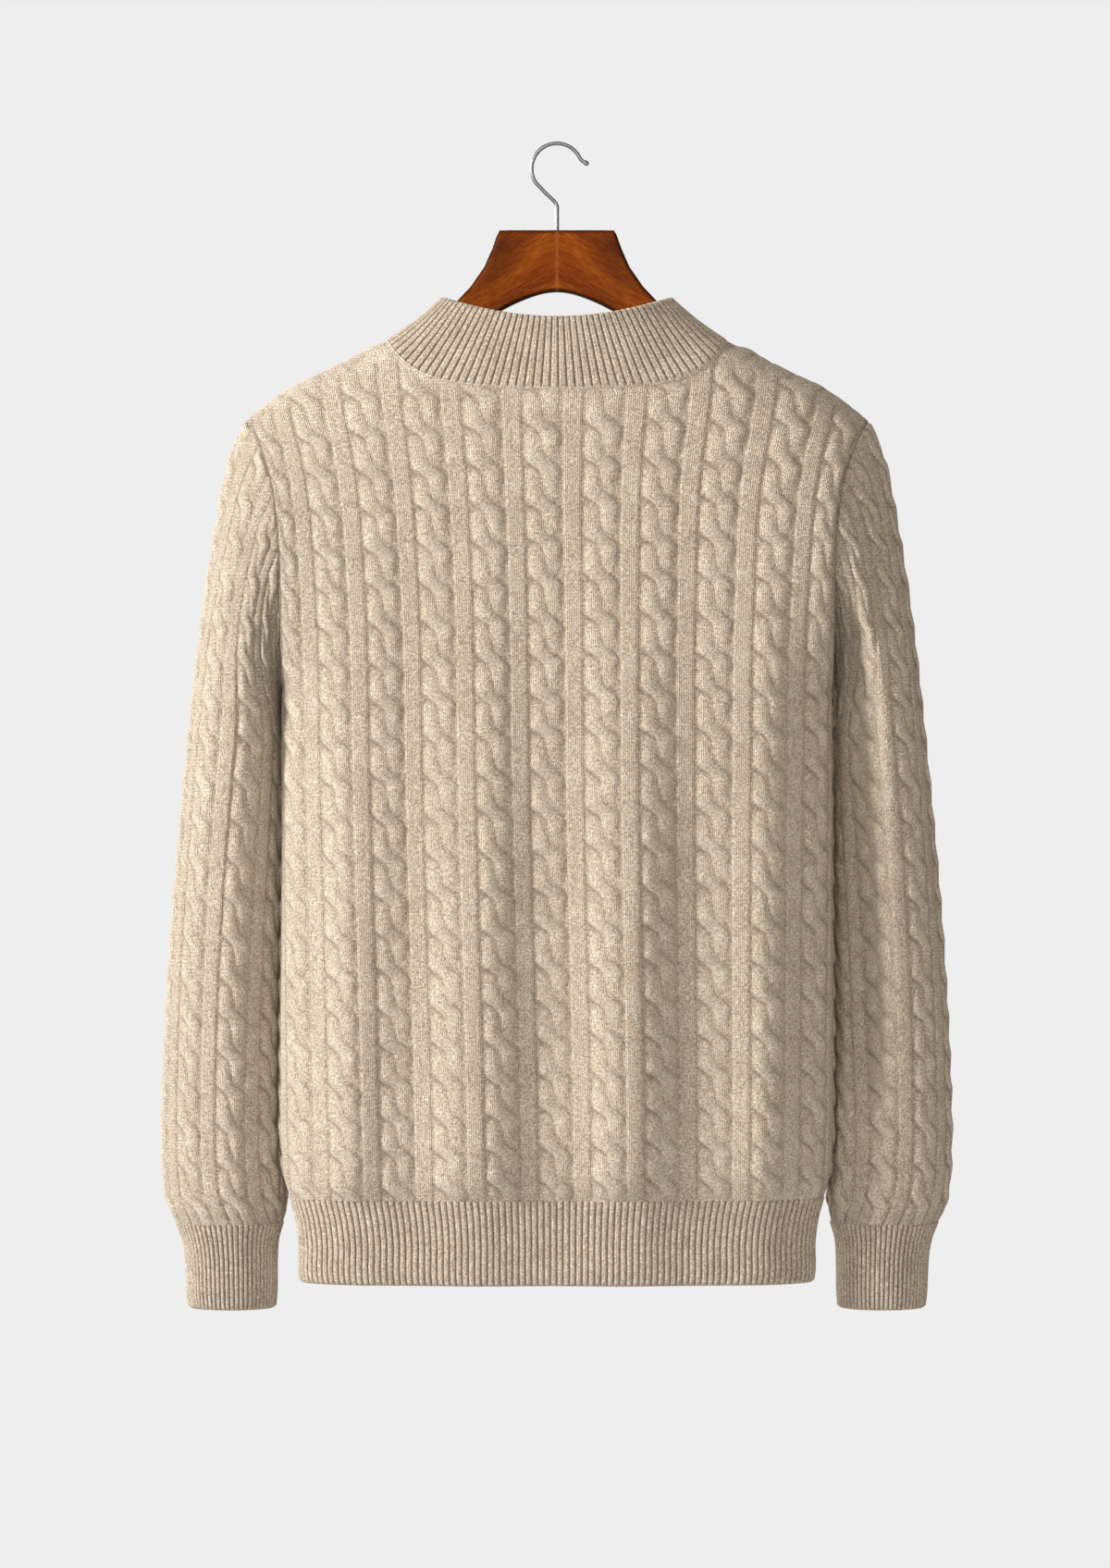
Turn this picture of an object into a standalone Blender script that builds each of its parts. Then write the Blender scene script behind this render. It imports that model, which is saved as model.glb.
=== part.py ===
"""Zip-up cable-knit cardigan hanging on a wooden hanger.

The cloth pieces are thin closed shells. Each one is a grid of points on its outer face
and the same grid moved in by the thickness of the cloth. Neighbouring pieces share the
points of their seam, and each draws back from it by half of the seam gap.

The origin is inside the crown of the hook, where a rail carries the hanger. +Z is up,
the zip faces -Y and the back of the garment faces +Y. Tables and sizes are in
millimetres and become metres when a mesh is made.
"""

from collections import namedtuple
from math import pi, radians

import bmesh
import bpy
import numpy as np
from mathutils import Matrix, Vector

METRES = 0.001

# Cloth
CLOTH = 3.0                # thickness of the cable knit
RIB_CLOTH = 3.0            # thickness of the hem and cuff rib
COLLAR_CLOTH = 4.5         # doubled rib of the collar
SEAM_GAP = 0.3

# Body heights, all below the crown of the hook
HEM_BOTTOM = -843.0
HEM_SEAM = -780.0
UNDERARM = -404.0
SHOULDER_POINT = -205.0

# Body section
SIDE_ROUNDNESS = 3.0       # exponent of the rounded side of the section
SHOULDER_ROUND = 60.0      # how quickly the shoulder falls away from its ridge
FRONT_EDGE = 6.0           # half the opening that the zip fills

# Armhole loop
ARMHOLE_SIDE = 203.5
SHOULDER_REACH = 27.5
ARMHOLE_HALF_DEPTH = 46.0
UNDERARM_EASE = 160.0             # how far the foot of the armhole is felt in the panel
SEAM_END_ANGLE = radians(18)      # where the shoulder seam meets the armhole

# Neck
NECK_HALF_WIDTH = 127.0
NECK_BACK = -184.0
NECK_SIDE = -146.0
NECK_FRONT = -228.0
NECK_BACK_BEND = 2.9              # how soon the neck seam drops away behind the shoulder
NECK_FRONT_BEND = 1.0
NECK_SEAM_START = 119.0           # where the shoulder seam meets the neck
FRONT_NECK_SHARE = 0.64           # share of a front's width where its shoulder seam starts
FRONT_STRAIGHT_SHARE = 0.5        # its columns run straight up to the neck as far as this
FRONT_STRAIGHT_OUT = 117.8
COLLAR_TOP_HALF_WIDTH = 84.0
COLLAR_TOP_BACK = -129.5
COLLAR_TOP_SIDE = -113.0
COLLAR_TOP_FRONT = -173.0
COLLAR_TOP_BACK_DEPTH = 38.0
COLLAR_TOP_FRONT_DEPTH = 44.0

Ridge = namedtuple("Ridge", "out height")
SHOULDER_RIDGE = [
    Ridge(0, -112),
    Ridge(60, -121),
    Ridge(127, -146),
    Ridge(170, -166.5),
    Ridge(209, -187),
    Ridge(231, -205),
    Ridge(240, -214),
]

Seam = namedtuple("Seam", "out height")
SHOULDER_SEAM = [
    Seam(119, -158.0),
    Seam(145, -167),
    Seam(170, -174.5),
    Seam(205, -191),
    Seam(228, -208.5),
]

Body = namedtuple("Body", "height half_width half_depth fold_share")
BODY_ROWS = [
    Body(HEM_SEAM, 197.5, 46, 0.45),
    Body(-768, 201.0, 49, 0.75),
    Body(-745, 203.7, 52, 0.95),
    Body(-690, 204.5, 53, 1.0),
    Body(-560, 204.0, 55, 0.72),
    Body(UNDERARM, 203.5, 57, 0.28),
    Body(-300, 203.5, 58, 0.08),
    Body(-100, 203.5, 58, 0.0),
]

Fold = namedtuple("Fold", "crest lift left_spread right_spread")
BACK_FOLDS = [
    Fold(163, 7.0, 22, 27),
    Fold(58, 9.0, 42, 22),
    Fold(-55, 10.0, 46, 20),
    Fold(-160, 8.0, 34, 18),
]
FRONT_FOLDS = [
    Fold(148, 8.0, 24, 34),
    Fold(70, 6.5, 20, 24),
    Fold(-84, 7.5, 26, 20),
    Fold(-157, 7.0, 30, 20),
]

Rib = namedtuple("Rib", "height half_width half_depth fold_share")
HEM_ROWS = [
    Rib(HEM_BOTTOM, 189.5, 43, 0.30),
    Rib(-838, 190.5, 43.5, 0.30),
    Rib(-812, 191.0, 44, 0.33),
    Rib(-797, 193.0, 44.5, 0.38),
    Rib(HEM_SEAM, 197.5, 46, 0.45),
]

Ring = namedtuple("Ring", "step outer_x outer_z inner_x inner_z half_depth centre_y")
SLEEVE_RINGS = [
    Ring(0, 231.0, -205.0, 203.5, -404.0, 46.0, 0.0),
    Ring(1, 243.0, -235.0, 204.8, -408.0, 48.0, -1.5),
    Ring(2, 252.0, -281.0, 205.2, -413.0, 50.0, -4.0),
    Ring(3, 260.5, -335.0, 205.0, -420.0, 51.0, -8.0),
    Ring(4, 267.5, -390.0, 204.6, -432.0, 51.0, -12.0),
    Ring(5, 273.5, -445.0, 204.0, -455.0, 50.0, -16.0),
    Ring(6, 280.0, -510.0, 203.6, -514.0, 48.0, -18.0),
    Ring(7, 286.0, -580.0, 203.6, -581.0, 46.0, -19.0),
    Ring(8, 290.5, -650.0, 203.6, -650.0, 43.5, -20.0),
    Ring(9, 293.0, -710.0, 203.4, -710.0, 41.0, -20.0),
    Ring(10, 293.2, -748.0, 203.0, -748.0, 39.5, -20.0),
    Ring(11, 291.0, -778.0, 202.5, -778.0, 38.0, -19.0),
    Ring(12, 283.5, -800.0, 204.7, -800.0, 35.0, -18.0),
]
CUFF_RINGS = [
    Ring(0, 283.5, -800.0, 204.7, -800.0, 35.0, -18.0),
    Ring(1, 278.5, -813.0, 208.4, -813.0, 32.0, -18.0),
    Ring(2, 276.0, -828.0, 209.4, -828.0, 30.5, -18.0),
    Ring(3, 275.0, -850.0, 209.6, -850.0, 30.0, -18.0),
    Ring(4, 273.5, -864.0, 210.6, -864.0, 29.0, -18.0),
]

# Zip
TAPE_INNER = 2.9
TAPE_OUTER = 14.0
TAPE_THICKNESS = 0.9
TAPE_CLEARANCE = 0.4
CHAIN_HALF_WIDTH = 2.5
CHAIN_THICKNESS = 2.4
BOX_LENGTH = 10.0
BOX_RIM = 0.4                  # how far the box stands over the chain on each face
SLIDER_LENGTH = 12.0
SLIDER_TOP_GAP = 1.0
CHAIN_IN_SLIDER = 0.62         # share of the slider that the chain reaches up into
SLIDER_HALF_WIDTH = 4.6
SLIDER_PLATE = 1.2
PLATE_LAP = 0.4                # how far joined blocks run into each other
SLIDER_CLEARANCE = 0.35
BAIL_HALF_LENGTH = 2.7         # outside half length of the bail on the slider
BAIL_BAR = 1.0
BAIL_HALF_WIDTH = 1.0
TAB_HALF_WIDTH = 2.9
TAB_BAR = 1.1                  # thickness of the tab and of the bar that turns in the bail
TAB_LENGTH = 27.0
TAB_SLOT_HALF_WIDTH = 1.4
TAB_SLOT_LENGTH = 3.8

# Hanger
Station = namedtuple("Station", "out top bottom half_thickness")
HANGER_STATIONS = [
    Station(0.15, -63.2, -106.8, 7.0),
    Station(18, -63.2, -111.4, 7.0),
    Station(34, -63.2, -118.3, 7.2),
    Station(42.5, -63.4, -122.8, 7.4),
    Station(44.5, -67.0, -124.0, 7.4),
    Station(48, -77.0, -126.3, 7.5),
    Station(54, -90.6, -130.3, 7.8),
    Station(64, -105.0, -137.3, 8.0),
    Station(80, -122.0, -148.5, 8.3),
    Station(100, -142.0, -163.5, 8.5),
    Station(113, -151.0, -172.0, 8.5),
    Station(128, -157.5, -181.0, 10.0),
    Station(165, -170.9, -199.0, 14.0),
    Station(200, -188.8, -213.5, 15.0),
    Station(213, -198.1, -217.5, 14.0),
    Station(219, -205.0, -215.5, 9.0),
]
HANGER_CROWN = 44.0        # radius that rounds the top of the arms
HOOK_WIRE = 1.6
HOOK_RADIUS = 18.8
HOOK_STEM_TOP = -43.5
HANGER_BEVEL = 3.0

# Counts of cells
CORNER_COLUMNS = 6         # columns from the end of the shoulder seam to the armhole
NECK_COLUMNS = 6           # columns of the back from its centre to the shoulder seam
FRONT_NECK_COLUMNS = 6
LOWER_ROWS = 8             # rows from the hem seam to the underarm
ARMHOLE_STEP = radians(18)
SLEEVE_ROWS = 14
CUFF_ROWS = 4
COLLAR_ROWS = 3


# ---------------------------------------------------------------- tables and curves

def smooth_table(rows, column, at):
    """One column of a table, on a smooth curve through its rows."""
    keys = np.array([row[0] for row in rows], float)
    values = np.array([getattr(row, column) for row in rows], float)
    slopes = np.gradient(values, keys)
    at = np.clip(np.asarray(at, float), keys[0], keys[-1])
    low = np.clip(np.searchsorted(keys, at, side="right") - 1, 0, len(keys) - 2)
    span = keys[low + 1] - keys[low]
    t = (at - keys[low]) / span
    rise = 3 * t**2 - 2 * t**3
    return (
        values[low] * (1 - rise)
        + values[low + 1] * rise
        + slopes[low] * span * (t**3 - 2 * t**2 + t)
        + slopes[low + 1] * span * (t**3 - t**2)
    )


def smooth_step(value, start, end):
    """0 before start, 1 after end, eased between."""
    t = np.clip((np.asarray(value, float) - start) / (end - start), 0, 1)
    return t * t * (3 - 2 * t)


def points(x, y, z):
    """Join three coordinates, of any matching shapes, into points."""
    x, y, z = np.broadcast_arrays(x, y, z)
    return np.stack([x, y, z], axis=-1).astype(float)


def unit(vectors):
    return vectors / np.linalg.norm(vectors, axis=-1, keepdims=True)


# ---------------------------------------------------------------- form of the torso

def ridge_height(x):
    return smooth_table(SHOULDER_RIDGE, "height", np.abs(x))


def side_corner(share):
    """1 at the centre of a panel, falling round to 0 at its side."""
    return np.clip(1 - np.abs(share) ** SIDE_ROUNDNESS, 0, 1) ** (1 / SIDE_ROUNDNESS)


def fold_lift(x, z, front):
    """How far the soft hanging folds stand out, crest by crest."""
    lift = 0
    for fold in FRONT_FOLDS if front else BACK_FOLDS:
        side = x - fold.crest
        spread = np.where(side > 0, fold.left_spread, fold.right_spread)
        lift = lift + fold.lift * np.exp(-((side / spread) ** 2))
    if front:
        lift = lift * smooth_step(np.abs(x), 20, 60)
    return lift


def armhole(angle):
    """Armhole loop: 0 at the shoulder point, positive round the back."""
    rise = (1 + np.cos(angle)) / 2
    x = ARMHOLE_SIDE + SHOULDER_REACH * rise**5
    y = ARMHOLE_HALF_DEPTH * np.sin(angle)
    z = UNDERARM + (SHOULDER_POINT - UNDERARM) * rise
    return x, y, z


def underarm_depth(above, share):
    """Depth of the armhole a little above its foot, eased into the panel away from it."""
    ease = UNDERARM_EASE * (1 - share)
    height = (above + np.sqrt(above**2 + ease**2)) / 2
    half_height = (SHOULDER_POINT - UNDERARM) / 2
    down = np.clip(half_height - height, 0, None) / half_height
    return ARMHOLE_HALF_DEPTH * np.sqrt(1 - down**2)


def armhole_out(angle):
    """Outward direction of the cloth at the armhole seam."""
    half_height = (SHOULDER_POINT - UNDERARM) / 2
    lean = 0.006 * (1 + np.cos(angle)) / 2
    return unit(points(lean, np.sin(angle) / ARMHOLE_HALF_DEPTH, np.cos(angle) / half_height))


def ridge_distance(x, z):
    """Square root of the drop below the shoulder ridge."""
    return np.sqrt(np.clip(ridge_height(x) - z, 0, None))


def section_depth(distance, half_depth):
    """Depth of the torso at a signed distance from the shoulder ridge."""
    return np.sign(distance) * half_depth * np.sqrt(1 - np.exp(-(distance**2) / SHOULDER_ROUND))


def neck_curve(turn):
    """Neck seam: a turn of 0 at the centre back, pi at the centre front."""
    x = NECK_HALF_WIDTH * np.sin(turn)
    end = np.where(np.cos(turn) > 0, NECK_BACK, NECK_FRONT)
    bend = np.where(np.cos(turn) > 0, NECK_BACK_BEND, NECK_FRONT_BEND)
    fall = (1 - np.exp(-bend * np.cos(turn) ** 2)) / (1 - np.exp(-bend))
    z = NECK_SIDE + (end - NECK_SIDE) * fall
    distance = ridge_distance(x, z) * np.sign(np.cos(turn))
    half_depth = smooth_table(BODY_ROWS, "half_depth", z)
    return points(x, section_depth(distance, half_depth), z)


def neck_out(turn):
    """Outward direction of the cloth at the neck seam."""
    side = np.abs(np.sin(turn))
    face = np.sign(np.cos(turn)) * np.abs(np.cos(turn)) ** 0.35
    return unit(points(0.5 * np.sign(np.sin(turn)) * side**4.5, face, 0.17 + 0.7 * side**5))


def seam_turn(x):
    """Turn of the neck seam at a given half width, on the back."""
    return np.arcsin(np.clip(x / NECK_HALF_WIDTH, -1, 1))


def top_edge(share, front):
    """Upper edge of half a panel: the neck seam, then the shoulder seam."""
    reach = armhole(SEAM_END_ANGLE)[0]
    neck_share = FRONT_NECK_SHARE if front else NECK_SEAM_START / reach
    if front:
        straight = FRONT_STRAIGHT_SHARE
        straight_turn = pi - seam_turn(FRONT_STRAIGHT_OUT)
        start_turn = seam_turn(NECK_SEAM_START)
        turn_near = pi - seam_turn(share / straight * FRONT_STRAIGHT_OUT)
        part = (share - straight) / (neck_share - straight)
        turn_far = straight_turn + (start_turn - straight_turn) * part
        turn = np.where(share < straight, turn_near, turn_far)
    else:
        turn = seam_turn(share * reach)
    neck = neck_curve(turn)
    part = np.clip((share - neck_share) / (1 - neck_share), 0, 1)
    x = NECK_SEAM_START + (reach - NECK_SEAM_START) * part
    end_x, end_y, end_z = armhole(SEAM_END_ANGLE)
    near_end = smooth_step(x, 165, end_x)
    z = smooth_table(SHOULDER_SEAM, "height", x)
    z = z + (end_z - smooth_table(SHOULDER_SEAM, "height", end_x)) * near_end
    y = section_depth(ridge_distance(x, z), BODY_ROWS[-1].half_depth)
    end_depth = section_depth(ridge_distance(end_x, end_z), BODY_ROWS[-1].half_depth)
    seam = points(x, y + (end_y - end_depth) * near_end, z)
    return np.where((share <= neck_share + 1e-9)[..., None], neck, seam)


def torso(share, level, front, hand):
    """Points of a torso panel.

    share runs from 0 at the centre line to 1 at the side or armhole. level runs from -1 at
    the hem seam through 0 at the underarm to 1 at the neck and shoulder seam. hand is 1 on
    the wearer's left and -1 on the right.
    """
    share, level = np.broadcast_arrays(np.asarray(share, float), np.asarray(level, float))
    face = -1 if front else 1
    up = np.clip(level, 0, 1)
    down = np.clip(-level, 0, 1)

    end_angle = SEAM_END_ANGLE if not front else -SEAM_END_ANGLE
    angle = pi + (end_angle - pi) * up
    edge_x, edge_y, edge_z = armhole(angle)
    edge_y = edge_y * face
    edge_distance = ridge_distance(edge_x, edge_z) * np.where(np.sin(angle) >= 0, face, -face)
    low_distance = face * ridge_distance(ARMHOLE_SIDE, UNDERARM)
    top_distance = ridge_distance(*armhole(SEAM_END_ANGLE)[0::2])
    weight = (edge_distance - low_distance) / (top_distance - low_distance)

    top = top_edge(share, front)
    start = face * ridge_distance(share * ARMHOLE_SIDE, UNDERARM)
    top_sign = np.where(top[..., 1] >= 0, 1, -1)
    finish = ridge_distance(top[..., 0], top[..., 2]) * top_sign
    distance = start + (finish - start) * weight
    reach = armhole(SEAM_END_ANGLE)[0]
    blend = weight**2
    upper_x = edge_x * (share * (1 - blend) + top[..., 0] / reach * blend)
    upper_z = ridge_height(upper_x) - distance**2

    lower_z = UNDERARM + (HEM_SEAM - UNDERARM) * down
    lower_x = share * smooth_table(BODY_ROWS, "half_width", lower_z)
    lower = level < 0
    x = np.where(lower, lower_x, upper_x)
    z = np.where(lower, lower_z, upper_z)
    distance = np.where(lower, face * ridge_distance(x, z), distance)
    low_half = lower | (edge_z < (UNDERARM + SHOULDER_POINT) / 2)
    above = np.where(lower, z, edge_z) - UNDERARM
    edge_y = np.where(low_half, face * underarm_depth(above, share), edge_y)

    half_depth = smooth_table(BODY_ROWS, "half_depth", z)
    depth = section_depth(distance, half_depth)
    near_top = np.where(lower, 0, weight**6)
    folds = smooth_table(BODY_ROWS, "fold_share", z) * fold_lift(x * hand, z, front)
    depth = depth + face * folds * smooth_step(np.abs(distance), 6, 12) * (1 - near_top)
    y = edge_y + (depth - edge_y) * side_corner(share)
    top_half_depth = smooth_table(BODY_ROWS, "half_depth", top[..., 2])
    end_y = np.where(lower, 0, armhole(SEAM_END_ANGLE)[1])
    meets = end_y + (section_depth(finish, top_half_depth) - end_y) * side_corner(share)
    y = y + (top[..., 1] - meets) * near_top
    return points(x * hand, y, z)


def section_out(share, height, front, hand, rows):
    """Outward direction of the body section, level with the ground."""
    step = 0.002
    before = section_point(np.clip(share - step, 0, 1), height, front, hand, rows)
    after = section_point(np.clip(share + step, 0, 1), height, front, hand, rows)
    along = after - before
    face = -1 if front else 1
    out = points(-along[..., 1], along[..., 0], 0) * hand * face
    side = points(hand + 0 * share, 0, 0)
    return np.where((share > 0.9999)[..., None], side, unit(out))


def section_point(share, height, front, hand, rows):
    """Points of a level section of the body or of the hem rib."""
    share, height = np.broadcast_arrays(np.asarray(share, float), np.asarray(height, float))
    face = -1 if front else 1
    x = share * smooth_table(rows, "half_width", height) * hand
    half_depth = smooth_table(rows, "half_depth", height)
    folds = smooth_table(rows, "fold_share", height) * fold_lift(x, height, front)
    return points(x, face * (half_depth + folds) * side_corner(share), height)


# ---------------------------------------------------------------- form of the sleeve

def sleeve(rings, angle, step, hand):
    """Points of a sleeve or cuff. An angle of 0 is on the outer side, positive to the back."""
    angle, step = np.broadcast_arrays(np.asarray(angle, float), np.asarray(step, float))
    outer_x = smooth_table(rings, "outer_x", step)
    outer_z = smooth_table(rings, "outer_z", step)
    inner_x = smooth_table(rings, "inner_x", step)
    inner_z = smooth_table(rings, "inner_z", step)
    rise = (1 + np.cos(angle)) / 2
    x = inner_x + (outer_x - inner_x) * rise
    z = inner_z + (outer_z - inner_z) * rise
    y = smooth_table(rings, "centre_y", step)
    y = y + smooth_table(rings, "half_depth", step) * np.sin(angle)
    if rings is SLEEVE_RINGS:
        near_armhole = 1 - smooth_step(step, 0, 4)
        x = x + SHOULDER_REACH * (rise**5 - rise) * near_armhole
    return points(x * hand, y, z)


def grid_out(grid, closed):
    """Outward directions of a grid of points, from the lines through each point."""
    if closed:
        across = np.roll(grid, -1, axis=1) - np.roll(grid, 1, axis=1)
    else:
        across = np.gradient(grid, axis=1)
    along = np.gradient(grid, axis=0)
    return unit(np.cross(across, along))


# ---------------------------------------------------------------- solids

def plain_material(name, colour, roughness, metallic=0.0):
    material = bpy.data.materials.new(name)
    material.use_nodes = True
    shader = material.node_tree.nodes["Principled BSDF"]
    shader.inputs["Base Color"].default_value = (*colour, 1)
    shader.inputs["Roughness"].default_value = roughness
    shader.inputs["Metallic"].default_value = metallic
    material.diffuse_color = (*colour, 1)
    return material


def add_object(name, verts, faces, material, smooth=True):
    """Make one closed object from points in millimetres."""
    mesh = bpy.data.meshes.new(name)
    mesh.from_pydata([Vector(v) * METRES for v in verts], [], faces)
    work = bmesh.new()
    work.from_mesh(mesh)
    bmesh.ops.recalc_face_normals(work, faces=work.faces)
    if work.calc_volume(signed=True) < 0:
        bmesh.ops.reverse_faces(work, faces=work.faces)
    work.to_mesh(mesh)
    work.free()
    if smooth:
        mesh.shade_smooth()
        mesh.set_sharp_from_angle(angle=radians(50))
    mesh.materials.append(material)
    item = bpy.data.objects.new(name, mesh)
    bpy.context.scene.collection.objects.link(item)
    return item


def draw_back(outer, inner, closed):
    """Move the edges of a piece in by half of the seam gap, square to each edge."""
    outer, inner = outer.copy(), inner.copy()
    edges = [(0, 0, 1), (0, -1, -2)]
    if not closed:
        edges += [(1, 0, 1), (1, -1, -2)]
    for axis, edge, near in edges:
        lines = np.moveaxis(outer, axis, 0)
        other = np.moveaxis(inner, axis, 0)
        if closed:
            along = unit(np.roll(lines[edge], -1, axis=0) - np.roll(lines[edge], 1, axis=0))
        else:
            along = unit(np.gradient(lines[edge], axis=0))
        inward = lines[near] - lines[edge]
        inward = inward - along * np.sum(inward * along, axis=-1, keepdims=True)
        through = unit(lines[edge] - other[edge])
        inward = inward - through * np.sum(inward * through, axis=-1, keepdims=True)
        shift = unit(inward) * SEAM_GAP / 2
        lines[edge] += shift
        other[edge] += shift
    return outer, inner


def add_cloth(name, outer, out, thickness, material, closed=False):
    """Close a grid of outer points and the same grid moved in into one thin solid."""
    outer, inner = draw_back(outer, outer - out * thickness, closed)
    rows, columns = outer.shape[:2]
    verts = np.concatenate([outer.reshape(-1, 3), inner.reshape(-1, 3)])
    layer = rows * columns

    def number(row, column, side):
        return side * layer + row * columns + column % columns

    faces = []
    last = columns if closed else columns - 1
    for row in range(rows - 1):
        for column in range(last):
            corners = [(row, column), (row, column + 1), (row + 1, column + 1), (row + 1, column)]
            faces.append([number(*corner, 0) for corner in corners])
            faces.append([number(*corner, 1) for corner in reversed(corners)])
    rims = [((row, column), (row, column + 1)) for row in (0, rows - 1) for column in range(last)]
    if not closed:
        sides = (0, columns - 1)
        rims += [((row, column), (row + 1, column)) for column in sides for row in range(rows - 1)]
    for ends in rims:
        # Both sides of a seam split the rim the same way: from the outer point further back
        far, near = sorted(ends, key=lambda end: -verts[number(*end, 0)][1])
        faces.append([number(*far, 0), number(*near, 0), number(*near, 1)])
        faces.append([number(*far, 0), number(*near, 1), number(*far, 1)])
    return add_object(name, verts, faces, material)


# ---------------------------------------------------------------- body panels

def even_shares(start, end, count):
    """Shares of the half width at even steps round the rounded section."""
    fine = np.linspace(0, 1, 600)
    line = section_point(fine, UNDERARM, False, 1, BODY_ROWS)
    run = np.concatenate([[0], np.cumsum(np.linalg.norm(np.diff(line, axis=0), axis=1))])
    first, last = np.interp([start, end], fine, run)
    shares = np.interp(np.linspace(first, last, count + 1), run, fine)
    shares[0], shares[-1] = start, end
    return shares


def seam_shares(neck_share):
    """Shares beyond the neck, at the seam points that back and front have in common."""
    back_share = NECK_SEAM_START / armhole(SEAM_END_ANGLE)[0]
    common = (even_shares(back_share, 1, CORNER_COLUMNS) - back_share) / (1 - back_share)
    return neck_share + (1 - neck_share) * common


def back_shares():
    neck_share = NECK_SEAM_START / armhole(SEAM_END_ANGLE)[0]
    near = np.linspace(0, neck_share, NECK_COLUMNS + 1)
    return np.concatenate([near, seam_shares(neck_share)[1:]])


def front_shares():
    near = np.linspace(0.1, FRONT_STRAIGHT_SHARE, FRONT_NECK_COLUMNS - 2)
    side = np.linspace(FRONT_STRAIGHT_SHARE, FRONT_NECK_SHARE, 5)
    return np.concatenate([[0], near, side[1:], seam_shares(FRONT_NECK_SHARE)[1:]])


def panel_levels(front):
    turn = pi + SEAM_END_ANGLE if front else pi - SEAM_END_ANGLE
    upper = np.linspace(0, 1, round(turn / ARMHOLE_STEP) + 1)
    lower = np.linspace(-1, 0, LOWER_ROWS + 1)
    return np.concatenate([lower[:-1], upper])


def half_panel(front, hand):
    """Outer points and outward directions of half the body, centre line to side."""
    shares = front_shares() if front else back_shares()
    levels = panel_levels(front)
    grid = torso(shares[None, :], levels[:, None], front, hand)
    out = grid_out(grid, False) * hand * (1 if front else -1)
    near = smooth_step(levels, 0.2, 0.5)[:, None, None]
    near = near * (1 - smooth_step(shares, 0.8, 0.95))[:, None]
    out = unit(out * (1 - near) + shoulder_out(grid, hand) * near)
    upper = levels >= 0
    end_angle = -SEAM_END_ANGLE if front else SEAM_END_ANGLE
    angle = (pi + (end_angle - pi) * levels[upper]) * (-1 if front else 1)
    edge = armhole_out(angle)
    edge[:, 0] *= hand
    out[upper, -1] = edge
    out[~upper, -1] = (hand, 0, 0)
    out[0] = section_out(shares, HEM_SEAM, front, hand, BODY_ROWS)

    top = top_edge(shares, front)
    neck_share = FRONT_NECK_SHARE if front else NECK_SEAM_START / armhole(SEAM_END_ANGLE)[0]
    on_neck = shares <= neck_share + 1e-9
    turn = neck_turns(shares[on_neck], front)
    rim = neck_out(turn)
    rim[:, 0] *= hand
    out[-1, on_neck] = rim
    out[-1, ~on_neck] = shoulder_out(top[~on_neck], hand)
    out[-1, -1] = edge[-1]
    if not front:
        out[:, 0, 0] = 0
        out[:, 0] = unit(out[:, 0])
    return grid, out


def neck_turns(shares, front):
    """Turns of the neck seam at the columns of a panel."""
    if not front:
        return seam_turn(shares * armhole(SEAM_END_ANGLE)[0])
    straight_turn = pi - seam_turn(FRONT_STRAIGHT_OUT)
    start_turn = seam_turn(NECK_SEAM_START)
    near = pi - seam_turn(shares / FRONT_STRAIGHT_SHARE * FRONT_STRAIGHT_OUT)
    part = (shares - FRONT_STRAIGHT_SHARE) / (FRONT_NECK_SHARE - FRONT_STRAIGHT_SHARE)
    far = straight_turn + (start_turn - straight_turn) * part
    return np.where(shares < FRONT_STRAIGHT_SHARE, near, far)


def shoulder_out(place, hand):
    """Outward direction of the cloth over the shoulders, from the fall of the surface."""
    step = 1.0
    x, y = np.abs(place[..., 0]), place[..., 1]
    slope_x = (ridge_height(x + step) - ridge_height(x - step)) / (2 * step)
    half_depth = BODY_ROWS[-1].half_depth
    slope_y = 2 * SHOULDER_ROUND * y / np.clip(half_depth**2 - y**2, 100, None)
    out = unit(points(-slope_x, slope_y, 1))
    out[..., 0] *= hand
    return out


def add_back(material):
    grid, out = half_panel(False, 1)
    other, other_out = half_panel(False, -1)
    grid = np.concatenate([grid[:, :0:-1], other], axis=1)
    out = np.concatenate([out[:, :0:-1], other_out], axis=1)
    add_cloth("back", grid, out, CLOTH, material)


def zip_edge(grid, out):
    """Start a half piece at the zip opening, flat as far as its second column."""
    grid, out = grid.copy(), out.copy()
    out[:, 0, 0] = 0
    out[:, 0] = unit(out[:, 0])
    out[:, 1] = out[:, 0]
    grid[:, 1, 1:] = grid[:, 0, 1:]
    grid[:, 0, 0] = np.sign(grid[:, 1, 0]) * (FRONT_EDGE - SEAM_GAP / 2)
    return grid, out


def add_front(name, hand, material):
    grid, out = zip_edge(*half_panel(True, hand))
    add_cloth(name, grid, out, CLOTH, material)
    return grid[:, 0] - out[:, 0] * CLOTH


# ---------------------------------------------------------------- rib pieces

def add_hem_rib(name, front, hands, material):
    halves = []
    for hand in hands:
        shares = front_shares() if front else back_shares()
        heights = np.array([row.height for row in HEM_ROWS])
        grid = section_point(shares[None, :], heights[:, None], front, hand, HEM_ROWS)
        wide = np.broadcast_to(shares, (len(heights), len(shares)))
        out = section_out(wide, heights[:, None], front, hand, HEM_ROWS)
        halves.append((grid, out))
    grid, out = halves[0]
    if len(halves) == 2:
        grid = np.concatenate([grid[:, :0:-1], halves[1][0]], axis=1)
        out = np.concatenate([out[:, :0:-1], halves[1][1]], axis=1)
    else:
        grid, out = zip_edge(grid, out)
    add_cloth(name, grid, out, RIB_CLOTH, material)
    return grid[:, 0] - out[:, 0] * RIB_CLOTH


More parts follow.
